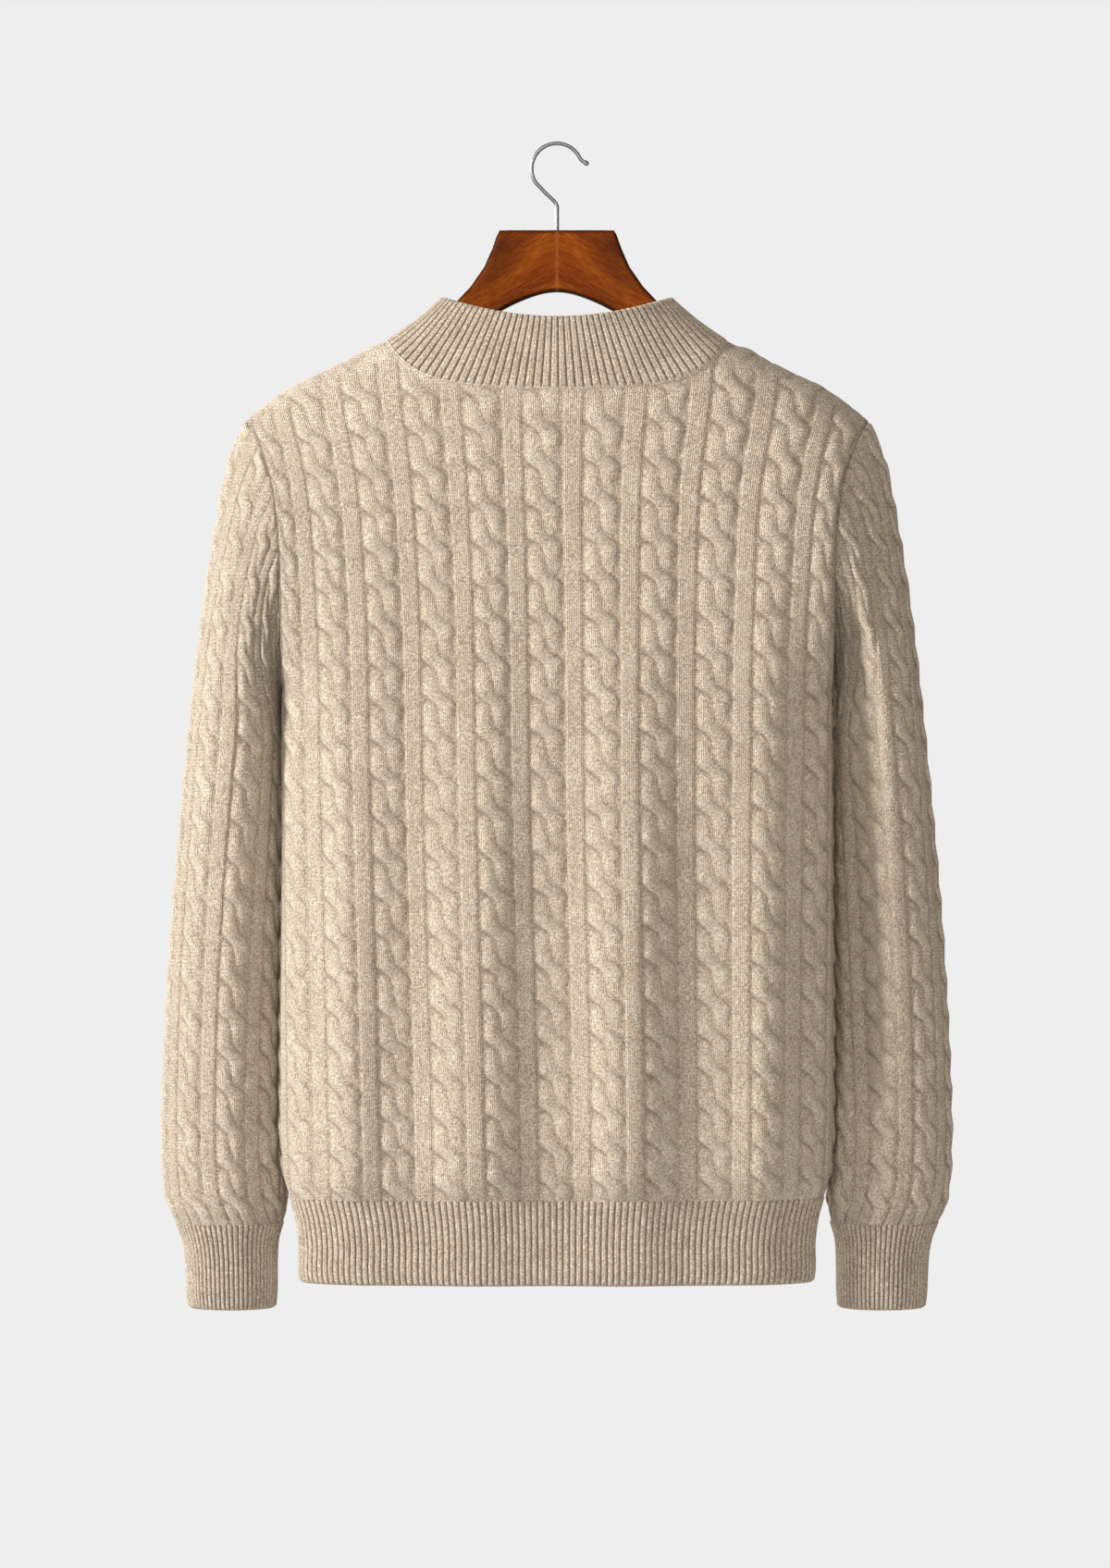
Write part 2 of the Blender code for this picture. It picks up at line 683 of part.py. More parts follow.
def collar_points(turn, part):
    """Points of the collar: part 0 at the neck seam, 1 at the top edge."""
    base = neck_curve(turn)
    back = np.cos(turn) > 0
    depth = np.where(back, COLLAR_TOP_BACK_DEPTH, COLLAR_TOP_FRONT_DEPTH)
    end = np.where(back, COLLAR_TOP_BACK, COLLAR_TOP_FRONT)
    rise = COLLAR_TOP_SIDE + (end - COLLAR_TOP_SIDE) * np.cos(turn) ** 2
    top = points(COLLAR_TOP_HALF_WIDTH * np.sin(turn), depth * np.cos(turn), rise)
    part = np.asarray(part, float)[..., None]
    hollow = 1.5 * np.sin(pi * part) * np.sin(turn)[..., None] ** 2
    return base + (top - base) * part - neck_out(turn) * hollow


def add_collar(material):
    behind = neck_turns(back_shares()[: NECK_COLUMNS + 1], False)
    before = neck_turns(front_shares()[:-CORNER_COLUMNS], True)
    half = np.concatenate([behind, before[-2::-1]])
    turns = np.concatenate([-half[:0:-1], half])
    parts = np.linspace(0, 1, COLLAR_ROWS + 1)
    grid = collar_points(turns[None, :] + 0 * parts[:, None], parts[:, None] + 0 * turns[None, :])
    out = -grid_out(grid, False)
    out[0] = neck_out(turns)
    for _ in range(2):
        grid, out = zip_edge(grid[:, ::-1], out[:, ::-1])
    thickness = np.full((len(parts), 1, 1), COLLAR_CLOTH)
    thickness[0] = CLOTH
    add_cloth("collar", grid, out, thickness, material)
    return grid[:, -1] - out[:, -1] * COLLAR_CLOTH


# ---------------------------------------------------------------- sleeves

def add_sleeve(side, hand, knit, rib):
    count = round(2 * pi / ARMHOLE_STEP)
    angles = np.arange(count) * ARMHOLE_STEP
    steps = np.linspace(0, SLEEVE_RINGS[-1].step, SLEEVE_ROWS + 1)
    grid = sleeve(SLEEVE_RINGS, angles[None, :], steps[:, None], hand)
    out = -grid_out(grid, True) * hand
    edge = armhole_out(angles)
    edge[:, 0] *= hand
    out[0] = edge
    cuff_steps = np.linspace(0, CUFF_RINGS[-1].step, CUFF_ROWS + 1)
    cuff = sleeve(CUFF_RINGS, angles[None, :], cuff_steps[:, None], hand)
    cuff_out = -grid_out(cuff, True) * hand
    level = np.array([1.0, 1.0, 0.0])
    seam = unit(unit(out[-1] * level) + unit(cuff_out[0] * level))
    out[-1] = seam
    cuff_out[0] = seam
    add_cloth(f"sleeve_{side}", grid, out, CLOTH, knit, closed=True)
    add_cloth(f"cuff_{side}", cuff, cuff_out, RIB_CLOTH, rib, closed=True)


# ---------------------------------------------------------------- zip

def strip(name, line, out, across, near, far, material):
    """A flat strip along a line: across is a pair of offsets, near and far its two faces."""
    rows = len(line)
    verts = []
    for offset in across:
        for move in (near, far):
            shifted = line - out * move
            verts.append(points(offset + 0 * shifted[:, 0], shifted[:, 1], shifted[:, 2]))
    ring = np.stack([verts[0], verts[1], verts[3], verts[2]], axis=1)
    faces = []
    for row in range(rows - 1):
        for side in range(4):
            after = (side + 1) % 4
            faces.append([row * 4 + side, row * 4 + after, row * 4 + after + 4, row * 4 + side + 4])
    faces.append([0, 1, 2, 3])
    faces.append([(rows - 1) * 4 + side for side in (3, 2, 1, 0)])
    return add_object(name, ring.reshape(-1, 3), faces, material, smooth=False)


def line_out(line):
    """Outward directions of the zip line, towards the front of the garment."""
    along = np.gradient(line, axis=0)
    return unit(points(0, -along[:, 2], along[:, 1]))


def cut_line(line, low, high):
    """The stretch of a rising line between two heights."""
    heights = line[:, 2]
    keep = line[(heights > low + 0.5) & (heights < high - 0.5)]
    ends = [points(0, np.interp(z, heights, line[:, 1]), z) for z in (low, high)]
    return np.concatenate([ends[0][None], keep, ends[1][None]])


def box_mesh(work, low, high, frame):
    """Add a box between two corners of the slider's own frame."""
    centre = [(a + b) / 2 for a, b in zip(low, high)]
    size = [b - a for a, b in zip(low, high)]
    place = frame @ Matrix.Translation(centre) @ Matrix.Diagonal((*size, 1))
    bmesh.ops.create_cube(work, size=1, matrix=place)


def union_of_boxes(name, boxes, frame, material):
    """Join overlapping boxes into one closed solid."""
    parts = []
    for number, (low, high) in enumerate(boxes):
        mesh = bpy.data.meshes.new(f"{name}_{number}")
        work = bmesh.new()
        box_mesh(work, low, high, frame)
        work.to_mesh(mesh)
        work.free()
        parts.append(bpy.data.objects.new(mesh.name, mesh))
        bpy.context.scene.collection.objects.link(parts[-1])
    base = parts[0]
    base.name = name
    for piece in parts[1:]:
        join = base.modifiers.new(piece.name, "BOOLEAN")
        join.operation = "UNION"
        join.solver = "EXACT"
        join.object = piece
        piece.hide_render = True
        piece.display_type = "WIRE"
    base.data.materials.append(material)
    return base


def add_zip(line, tape, metal):
    """Two tapes behind the fronts, the closed chain, its bottom box, slider and pull tab."""
    line = line * np.array([0, 1, 1])
    out = line_out(line)
    for side, hand in (("left", 1), ("right", -1)):
        across = (hand * TAPE_INNER, hand * TAPE_OUTER)
        far = TAPE_CLEARANCE + TAPE_THICKNESS
        strip(f"zip_tape_{side}", line, out, across, TAPE_CLEARANCE, far, tape)

    middle = TAPE_CLEARANCE + TAPE_THICKNESS / 2
    near, far = middle - CHAIN_THICKNESS / 2, middle + CHAIN_THICKNESS / 2
    bottom = line[0, 2]
    top = line[-1, 2]
    slider_bottom = top - SLIDER_LENGTH - SLIDER_TOP_GAP
    chain_top = slider_bottom + SLIDER_LENGTH * CHAIN_IN_SLIDER
    chain = cut_line(line, bottom + BOX_LENGTH, chain_top)
    strip("zip_chain", chain, line_out(chain), (-CHAIN_HALF_WIDTH, CHAIN_HALF_WIDTH), near, far, metal)
    box = cut_line(line, bottom, bottom + BOX_LENGTH - SEAM_GAP)
    box_width = (-CHAIN_HALF_WIDTH, CHAIN_HALF_WIDTH)
    strip("zip_box", box, line_out(box), box_width, near - BOX_RIM, far + BOX_RIM, metal)

    # The slider's own frame: its origin on the middle of the chain, Y out of the front, Z up it
    centre = cut_line(line, slider_bottom, slider_bottom + SLIDER_LENGTH)
    start, end = centre[0], centre[-1]
    lean = unit(end - start)
    front = points(0, -lean[2], lean[1])
    origin = (start + end) / 2 - front * middle
    frame = Matrix((
        (1, 0, 0, origin[0]),
        (0, front[1], lean[1], origin[1]),
        (0, front[2], lean[2], origin[2]),
        (0, 0, 0, 1),
    ))
    scale = Matrix.Scale(METRES, 4)
    half = SLIDER_LENGTH / 2
    inside = CHAIN_THICKNESS / 2 + SLIDER_CLEARANCE
    face = inside + SLIDER_PLATE
    pivot = face + SLIDER_CLEARANCE + TAB_BAR / 2
    bail_top = pivot + TAB_BAR / 2 + SLIDER_CLEARANCE + BAIL_BAR
    web = (CHAIN_IN_SLIDER - 0.5) * SLIDER_LENGTH + SEAM_GAP
    web_half = TAPE_INNER - SLIDER_CLEARANCE
    foot = face - PLATE_LAP
    bail_half = BAIL_HALF_LENGTH - PLATE_LAP
    wide = SLIDER_HALF_WIDTH
    leg = BAIL_HALF_WIDTH
    boxes = [
        ((-wide, inside, -half), (wide, face, half)),
        ((-wide, -face, -half), (wide, -inside, half)),
        ((-web_half, -foot, web), (web_half, foot, half - PLATE_LAP)),
        ((-leg, foot, BAIL_HALF_LENGTH - BAIL_BAR), (leg, bail_top, BAIL_HALF_LENGTH)),
        ((-leg, foot, -BAIL_HALF_LENGTH), (leg, bail_top, -BAIL_HALF_LENGTH + BAIL_BAR)),
        ((-leg, bail_top - BAIL_BAR, -bail_half), (leg, bail_top, bail_half)),
    ]
    union_of_boxes("zip_slider", boxes, scale @ frame, metal)

    bar = TAB_BAR / 2
    slot = TAB_SLOT_HALF_WIDTH
    slot_end = -bar - TAB_SLOT_LENGTH
    wide = TAB_HALF_WIDTH
    low, high = pivot - bar, pivot + bar
    tab_boxes = [
        ((-wide, low, -bar), (wide, high, bar)),
        ((-wide, low, -TAB_LENGTH), (wide, high, slot_end)),
        ((-wide, low, slot_end - PLATE_LAP), (-slot, high, bar - PLATE_LAP)),
        ((slot, low, slot_end - PLATE_LAP), (wide, high, bar - PLATE_LAP)),
    ]
    union_of_boxes("zip_pull_tab", tab_boxes, scale @ frame, metal)


# ---------------------------------------------------------------- hanger

def add_hanger_arm(name, hand, material):
    """One wooden half: ovals with a rounded top and bevelled lower edges, station by station."""
    verts = []
    faces = []
    sides = 12
    for station in HANGER_STATIONS:
        h = station.half_thickness
        crown = h * h / HANGER_CROWN
        bevel = min(HANGER_BEVEL, (station.top - station.bottom) * 0.2)
        outline = [
            (0, station.top),
            (0.5 * h, station.top - 0.25 * crown),
            (0.82 * h, station.top - 0.67 * crown),
            (h, station.top - crown - bevel),
            (h, station.bottom + bevel),
            (h - 0.6 * bevel, station.bottom),
            (0, station.bottom),
        ]
        outline += [(-y, z) for y, z in outline[-2:0:-1]]
        verts += [(station.out * hand, y, z) for y, z in outline]
    for row in range(len(HANGER_STATIONS) - 1):
        for side in range(sides):
            after = (side + 1) % sides
            near, far = row * sides, (row + 1) * sides
            faces.append([near + side, near + after, far + after, far + side])
    faces.append(list(range(sides)))
    faces.append([(len(HANGER_STATIONS) - 1) * sides + side for side in range(sides)])
    add_object(name, verts, faces, material)


def hook_route():
    """Centre line of the hook wire: stem, slanting neck, round crown and flicked tip."""
    crown_z = HOOK_WIRE - HOOK_RADIUS
    route = [(0, HANGER_STATIONS[0].top + SEAM_GAP), (0, -53), (0, HOOK_STEM_TOP - 1.5)]
    route += [(0.6, HOOK_STEM_TOP + 0.3), (1.9, HOOK_STEM_TOP + 2.2), (8.5, -35.2)]
    for degrees in range(-33, 154, 9):
        angle = radians(degrees)
        route.append((HOOK_RADIUS * np.cos(angle), crown_z + HOOK_RADIUS * np.sin(angle)))
    x, z = route[-1]
    route += [(x - 1.0, z - 1.6), (x - 3.4, z - 3.4), (x - 6.4, z - 4.9)]
    return route


def add_hook(material):
    curve = bpy.data.curves.new("hanger_hook", "CURVE")
    curve.dimensions = "3D"
    curve.bevel_depth = HOOK_WIRE * METRES
    curve.bevel_resolution = 2
    curve.use_fill_caps = True
    route = hook_route()
    spline = curve.splines.new("POLY")
    spline.points.add(len(route) - 1)
    for point, (x, z) in zip(spline.points, route):
        point.co = (x * METRES, 0, z * METRES, 1)
    curve.materials.append(material)
    item = bpy.data.objects.new("hanger_hook", curve)
    bpy.context.scene.collection.objects.link(item)


# ---------------------------------------------------------------- the whole cardigan

def clear_scene():
    for item in list(bpy.data.objects):
        bpy.data.objects.remove(item, do_unlink=True)


def build():
    clear_scene()
    knit = plain_material("cable_knit", (0.50, 0.43, 0.34), 0.9)
    rib = plain_material("rib_knit", (0.48, 0.41, 0.32), 0.9)
    tape = plain_material("zip_tape", (0.36, 0.31, 0.25), 0.85)
    metal = plain_material("zip_metal", (0.52, 0.50, 0.47), 0.35, 1.0)
    wood = plain_material("cherry_wood", (0.20, 0.05, 0.015), 0.3)
    wire = plain_material("chrome_wire", (0.75, 0.75, 0.76), 0.15, 1.0)

    add_back(knit)
    front_line = add_front("front_left", 1, knit)
    add_front("front_right", -1, knit)
    add_hem_rib("hem_rib_back", False, (1, -1), rib)
    hem_line = add_hem_rib("hem_rib_front_left", True, (1,), rib)
    add_hem_rib("hem_rib_front_right", True, (-1,), rib)
    collar_line = add_collar(rib)
    for side, hand in (("left", 1), ("right", -1)):
        add_sleeve(side, hand, knit, rib)
    zip_line = np.concatenate([hem_line, front_line[1:-1], collar_line])
    add_zip(zip_line, tape, metal)
    for side, hand in (("left", 1), ("right", -1)):
        add_hanger_arm(f"hanger_arm_{side}", hand, wood)
    add_hook(wire)


build()
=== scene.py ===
"""A cable-knit zip-up cardigan on a wooden hanger, seen from behind.

Sizes are in millimetres unless a name says otherwise. The origin is inside the crown of the
hook, +Z is up, the zip faces -Y and the back of the garment faces +Y.
"""

from collections import namedtuple
from math import pi, radians

import bpy
import numpy as np
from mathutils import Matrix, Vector


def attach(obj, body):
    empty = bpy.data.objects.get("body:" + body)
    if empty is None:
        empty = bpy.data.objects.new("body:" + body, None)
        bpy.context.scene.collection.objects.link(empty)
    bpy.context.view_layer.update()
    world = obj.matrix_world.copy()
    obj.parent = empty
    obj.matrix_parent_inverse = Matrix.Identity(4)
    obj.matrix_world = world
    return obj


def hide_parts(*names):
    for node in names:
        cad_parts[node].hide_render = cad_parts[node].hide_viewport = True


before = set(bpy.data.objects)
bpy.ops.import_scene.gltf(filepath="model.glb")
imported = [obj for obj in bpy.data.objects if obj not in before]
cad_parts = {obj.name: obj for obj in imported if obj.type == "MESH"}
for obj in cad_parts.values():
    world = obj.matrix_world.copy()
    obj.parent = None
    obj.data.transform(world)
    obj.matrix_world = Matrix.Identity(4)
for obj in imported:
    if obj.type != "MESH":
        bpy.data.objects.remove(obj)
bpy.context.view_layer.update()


# ==================================================================== hanger arms
# Two halves of cherry wood, glued at the middle, with a thin satin lacquer. Their edges are eased and
# coloured darker, and the upper edge is rounded more where the arms are thick.

METRES = 0.001
HANDS = (("left", 1), ("right", -1))     # the wearer's left is towards +X


def table(columns, *rows):
    """Rows of measures, with a name for each column."""
    row_kind = namedtuple("Row", columns)
    return [row_kind(*row) for row in rows]


ARM_LINES = 230              # sections from the middle to the tip
ARM_POINTS = 26              # points up each face of an arm
ARM_CORNER = (41, 60)        # the upper corner, where more sections follow its bend
ARM_CORNER_LINES = 60
ARCH_EASE = 24               # how far the line of the arch is smoothed each way
ARM_EDGE = 2.2               # radius of the eased edges
ARM_CROWN = 44.0             # radius that rounds the top of the arms more where they are thick

HANGER_STATIONS = table(
    "out top bottom half_thickness",
    (0.15, -63.2, -106.8, 7.0),
    (18, -63.2, -111.4, 7.0),
    (34, -63.2, -118.3, 7.2),
    (42.5, -63.4, -122.8, 7.4),
    (44.5, -67.0, -124.0, 7.4),
    (48, -77.0, -126.3, 7.5),
    (54, -90.6, -130.3, 7.8),
    (64, -105.0, -137.3, 8.0),
    (80, -122.0, -148.5, 8.3),
    (100, -142.0, -163.5, 8.5),
    (113, -151.0, -172.0, 8.5),
    (128, -157.5, -181.0, 10.0),
    (165, -170.9, -199.0, 14.0),
    (200, -188.8, -213.5, 15.0),
    (213, -198.1, -217.5, 14.0),
    (219, -205.0, -215.5, 9.0),
)

GRAIN_LEAN = 0.55            # how far the grain falls away along an arm
GRAIN = table(
    "across along detail share",
    (0.13, 0.012, 4.0, 0.36),
    (0.9, 0.16, 2.0, 0.36),
    (0.03, 0.02, 1.0, 0.28),
)
WOOD_TONES = [(0.42, (0.13, 0.021, 0.001)), (0.53, (0.24, 0.05, 0.002)), (0.66, (0.38, 0.105, 0.006))]
WOOD_DARK_TONE = (0.018, 0.005, 0.0015, 1)
GLUE_COLOUR = (0.5, 0.17, 0.04, 1)


class Amount:
    """A number inside a material: adding or multiplying it makes a Math node."""

    def __init__(self, socket):
        self.socket = socket

    def __add__(self, other):
        return maths("ADD", self, other)

    def __sub__(self, other):
        return maths("SUBTRACT", self, other)

    def __rsub__(self, other):
        return maths("SUBTRACT", other, self)

    def __mul__(self, other):
        return maths("MULTIPLY", self, other)

    def __truediv__(self, other):
        return maths("DIVIDE", self, other)


def set_inputs(node, inputs):
    """Give a node's inputs their values, or link them to the outputs of other nodes."""
    for key, value in inputs.items():
        if isinstance(value, Amount):
            value = value.socket
        if isinstance(value, bpy.types.NodeSocket):
            node.id_data.links.new(value, node.inputs[key])
        else:
            node.inputs[key].default_value = value


def add_node(tree, kind, inputs=None, **settings):
    """A shader node. An input is a value, or another node's output to link to."""
    made = tree.nodes.new(kind)
    for key, value in settings.items():
        setattr(made, key, value)
    set_inputs(made, inputs or {})
    return made


def maths(operation, first, second=0.0):
    """What one Math node makes of two amounts, or of an amount and a plain number."""
    owner = first if isinstance(first, Amount) else second
    made = add_node(owner.socket.id_data, "ShaderNodeMath", {0: first, 1: second}, operation=operation)
    return Amount(made.outputs[0])


def map_range(amount, start, end, low=0.0, high=1.0, kind="SMOOTHSTEP"):
    """An amount that goes from low at start to high at end."""
    made = add_node(
        amount.socket.id_data, "ShaderNodeMapRange",
        {"Value": amount, "From Min": start, "From Max": end, "To Min": low, "To Max": high},
        interpolation_type=kind,
    )
    return Amount(made.outputs[0])


def noise(tree, place, scale, detail, roughness=0.5, distortion=0.0):
    """Cloudy noise, from 0 to 1."""
    inputs = {"Vector": place, "Scale": scale, "Detail": detail}
    inputs.update({"Roughness": roughness, "Distortion": distortion})
    return Amount(add_node(tree, "ShaderNodeTexNoise", inputs).outputs["Fac"])


def mixed(tree, factor, first, second, blend="MIX"):
    """Two colours mixed by a factor."""
    inputs = {"Factor": factor, 6: first, 7: second}
    return add_node(tree, "ShaderNodeMix", inputs, data_type="RGBA", blend_type=blend).outputs[2]


def bump(tree, height, strength, distance):
    """A surface direction that makes a height show."""
    inputs = {"Height": height, "Strength": strength, "Distance": distance}
    return add_node(tree, "ShaderNodeBump", inputs).outputs[0]


def ramp(tree, factor, stops):
    """A colour that follows a factor: stops are pairs of a place and a colour."""
    made = add_node(tree, "ShaderNodeValToRGB", {"Fac": factor})
    colours = made.color_ramp.elements
    while len(colours) < len(stops):
        colours.new(0.5)
    for element, (place, colour) in zip(colours, stops):
        element.position = place
        element.color = (*colour, 1)
    return made.outputs["Color"]


def start_material(name):
    """A new material with its tree and Principled shader."""
    material = bpy.data.materials.new(name)
    material.use_nodes = True
    tree = material.node_tree
    return material, tree, tree.nodes["Principled BSDF"]


def make_mesh(name, verts, quads, triangles, uvs, material):
    """A smooth mesh object from arrays, verts in millimetres, with one UV pair for each vert."""
    mesh = bpy.data.meshes.new(name)
    loops = np.concatenate([quads.ravel(), triangles.ravel()]).astype(np.int32)
    sizes = np.concatenate([np.full(len(quads), 4), np.full(len(triangles), 3)])
    starts = np.concatenate([[0], np.cumsum(sizes)[:-1]]).astype(np.int32)
    mesh.vertices.add(len(verts))
    mesh.vertices.foreach_set("co", (verts * METRES).astype(np.float32).ravel())
    mesh.loops.add(len(loops))
    mesh.loops.foreach_set("vertex_index", loops)
    mesh.polygons.add(len(sizes))
    mesh.polygons.foreach_set("loop_start", starts)
    mesh.update(calc_edges=True)
    layer = mesh.uv_layers.new(name="knit")
    layer.data.foreach_set("uv", uvs[loops].astype(np.float32).ravel())
    mesh.validate()
    mesh.shade_smooth()
    mesh.set_sharp_from_angle(angle=radians(72))
    item = bpy.data.objects.new(name, mesh)
    bpy.context.scene.collection.objects.link(item)
    if shell_volume(item) < 0:
        mesh.flip_normals()
    mesh.materials.append(material)
    return item


def shell_volume(item):
    """Volume of a closed mesh, negative when it is inside out."""
    mesh = item.data
    mesh.calc_loop_triangles()
    co = np.zeros(len(mesh.vertices) * 3, np.float32)
    corners = np.zeros(len(mesh.loop_triangles) * 3, np.int32)
    mesh.vertices.foreach_get("co", co)
    mesh.loop_triangles.foreach_get("vertices", corners)
    a, b, c = co.reshape(-1, 3)[corners.reshape(-1, 3)].astype(float).transpose(1, 0, 2)
    return float((a * np.cross(b, c)).sum() / 6)


def grid_quads(row_count, column_count, closed, first=0, flip=False):
    """The faces of a grid of points, closed round its rows or open."""
    last = column_count if closed else column_count - 1
    row, column = np.meshgrid(np.arange(row_count - 1), np.arange(last), indexing="ij")
    beside = (column + 1) % column_count
    corners = [(row, column), (row, beside), (row + 1, beside), (row + 1, column)]
    quads = np.stack([first + r * column_count + c for r, c in corners], axis=-1).reshape(-1, 4)
    return quads[:, ::-1] if flip else quads


def swept(name, rings, uvs, material):
    """A closed mesh through rings of points, capped at both ends."""
    count, sides = rings.shape[:2]
    turn = np.arange(1, sides - 1)
    first = np.stack([0 * turn, turn + 1, turn], axis=-1)
    last = np.stack([0 * turn, turn, turn + 1], axis=-1) + (count - 1) * sides
    faces = (grid_quads(count, sides, True), np.concatenate([first, last]))
    return make_mesh(name, rings.reshape(-1, 3), *faces, uvs.reshape(-1, 2), material)


def object_place(tree):
    """Where a point is on its piece, in metres."""
    return add_node(tree, "ShaderNodeTexCoord").outputs["Object"]


def split_uv(tree):
    """The UV map, and its two amounts."""
    uv = add_node(tree, "ShaderNodeUVMap", uv_map="knit").outputs["UV"]
    split = add_node(tree, "ShaderNodeSeparateXYZ", {"Vector": uv})
    return uv, Amount(split.outputs["X"]), Amount(split.outputs["Y"])


def lacquered_wood():
    """Cherry with its grain along each arm. Its UV map holds mm along the arm and from its edges."""
    material, tree, shader = start_material("cherry_wood")
    _, along, from_edge = split_uv(tree)
    height = Amount(add_node(tree, "ShaderNodeSeparateXYZ", {"Vector": object_place(tree)}).outputs["Z"])
    climb = height * (1 / METRES) + along * GRAIN_LEAN
    tone = None
    for grain in GRAIN:
        spot = add_node(tree, "ShaderNodeCombineXYZ", {"X": along * grain.along, "Y": climb * grain.across})
        layer = noise(tree, spot.outputs[0], 1.0, grain.detail, 0.6) * grain.share
        tone = tone + layer if tone else layer
    # The wood is coloured darker near its edges, and towards the middle near its top.
    dark_edge = map_range(from_edge, 0.6, 3.6, 0.85, 0.0)
    dark_end = map_range(along, 54.0, 12.0, 0.62, 0.0) * map_range(height, -0.074, -0.112, 1.0, 0.3)
    glue = map_range(along, 0.4, 1.4, 0.2, 0.0, "LINEAR")
    darkened = mixed(tree, maths("MAXIMUM", dark_edge, dark_end), ramp(tree, tone, WOOD_TONES), WOOD_DARK_TONE)
    darkened = mixed(tree, glue, darkened, GLUE_COLOUR)
    finish = {"Base Color": darkened, "Normal": bump(tree, tone, 0.15, 0.0004)}
    set_inputs(shader, {**finish, "Roughness": 0.45, "Specular IOR Level": 0.05})
    return material


def eased(gap, radius):
    """How far a face draws in at a distance from an edge with this radius."""
    return radius - np.sqrt(radius**2 - np.clip(radius - gap, 0, radius) ** 2)


def arm_rings():
    """Sections of one arm from the middle outwards, and how far each point is from the outline."""
    stations = np.array(HANGER_STATIONS)
    reach = np.linspace(0.01, stations[-1, 0], ARM_LINES)
    reach = np.sort(np.concatenate([reach, np.linspace(*ARM_CORNER, ARM_CORNER_LINES)]))
    top, _, half = (np.interp(reach, stations[:, 0], stations[:, column])[:, None] for column in (1, 2, 3))
    near = np.arange(-ARCH_EASE, ARCH_EASE + 1)
    arch = np.interp(np.abs(reach[:, None] + near), stations[:, 0], stations[:, 2])
    bottom = np.average(arch, axis=1, weights=np.cos(near / (ARCH_EASE + 0.5) * pi / 2) ** 2)[:, None]
    part = 0.5 - 0.5 * np.cos(np.linspace(0, pi, ARM_POINTS))[None, :]
    z = bottom + (top - bottom) * part
    gaps = []
    for line in (top, bottom):
        across = reach[:, None, None] - reach[None, None, :]
        up = z[:, :, None] - line[None, None, :, 0]
        gaps.append(np.sqrt(across**2 + up**2).min(axis=-1))
    crown = np.minimum(ARM_EDGE + half**2 / ARM_CROWN, half * 0.9)
    y = half - np.maximum(eased(gaps[0], crown), eased(gaps[1], ARM_EDGE))
    gap = np.minimum(*gaps)
    x = reach[:, None] + 0 * z
    face = np.stack([x, y, z], axis=-1)
    ring = np.concatenate([face, (face * (1, -1, 1))[:, ::-1]], axis=1)
    return ring, np.concatenate([gap, gap[:, ::-1]], axis=1)


def stand_for(item, node, body="cardigan"):
    """Show a piece in place of its CAD node."""
    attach(item, body)
    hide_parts(node)


cherry_wood = lacquered_wood()
arm_points, edge_gaps = arm_rings()
arm_uv = np.stack([arm_points[..., 0], edge_gaps], axis=-1)
for side, hand in HANDS:
    arm = swept(f"hanger_arm_{side}_wood", arm_points * (hand, 1, 1), arm_uv, cherry_wood)
    stand_for(arm, f"hanger_arm_{side}")


# ==================================================================== hanger hook
# Plated round wire, screwed into the crown of the hanger, bent over once and flicked at its tip.

HOOK_WIRE = 1.45             # radius of the wire
HOOK_RADIUS = 18.8           # radius of the bend, to the middle of the wire
HOOK_TOP = 1.6               # the middle of the wire over the origin
HOOK_STEM_TOP = -43.5
HOOK_FOOT = -62.9            # just inside the crown of the hanger
HOOK_SIDES = 20
HOOK_BEND = (-33, 154)       # degrees round the bend, from its foot to the flick
STEM_BEND = [(0.0, -2.4), (0.15, -0.9), (0.8, 0.7), (2.2, 2.5)]
TIP_FLICK = [(0.9, 1.7), (2.6, 3.1), (4.6, 4.2), (6.9, 5.3)]
TIP_RADIUS = 1.9             # radius of the round bead at the tip
TIP_NECK = (2.6, 0.9)        # this near the tip, the wire has this share of its radius
STEM_THREAD = (18, 0.2)      # this near its foot, the stem is thicker by this much
TIP_RUN = 4                  # the last run of the wire has closer sections
HOOK_EASE = 8                # how many times the route is smoothed


def run_along(line):
    """Distance along a line of points."""
    return np.concatenate([[0], np.cumsum(np.linalg.norm(np.diff(line, axis=0), axis=1))])


def chrome():
    """Plated wire, its shine a little dulled with use."""
    material, _, shader = start_material("chrome_wire")
    set_inputs(shader, {"Base Color": (0.27, 0.27, 0.28, 1), "Metallic": 1.0, "Roughness": 0.42})
    return material


crown_z = HOOK_TOP - HOOK_RADIUS
turns = np.radians(np.arange(*HOOK_BEND, 3))
crown = np.stack([HOOK_RADIUS * np.cos(turns), crown_z + HOOK_RADIUS * np.sin(turns)], axis=-1)
stem = [(0, HOOK_FOOT), (0, -53), *((x, HOOK_STEM_TOP + rise) for x, rise in STEM_BEND), (8.5, -35.2)]
flick = [crown[-1] - step for step in TIP_FLICK]
route = np.concatenate([stem, crown, flick])
run = run_along(route)
tip_start = run[-1] - TIP_RUN
tip_steps = tip_start + np.sqrt(np.linspace(0, 1, 16))[1:] * TIP_RUN
steps = np.concatenate([np.linspace(0, tip_start, 260), tip_steps])
smooth = np.stack([np.interp(steps, run, route[:, 0]), np.interp(steps, run, route[:, 1])], axis=-1)
for _ in range(HOOK_EASE):
    smooth[1:-1] = (smooth[:-2] + 2 * smooth[1:-1] + smooth[2:]) / 4
ahead = np.gradient(smooth, axis=0)
ahead /= np.linalg.norm(ahead, axis=1)[:, None]
left = run[-1] - steps
tip = np.sqrt(np.clip(1 - ((left - TIP_RADIUS) / TIP_RADIUS) ** 2, 0.01, 1)) * TIP_RADIUS
wire = HOOK_WIRE * np.where(left > TIP_NECK[0], 1, TIP_NECK[1])
radius = np.where(left < TIP_RADIUS, tip, np.maximum(tip, wire))
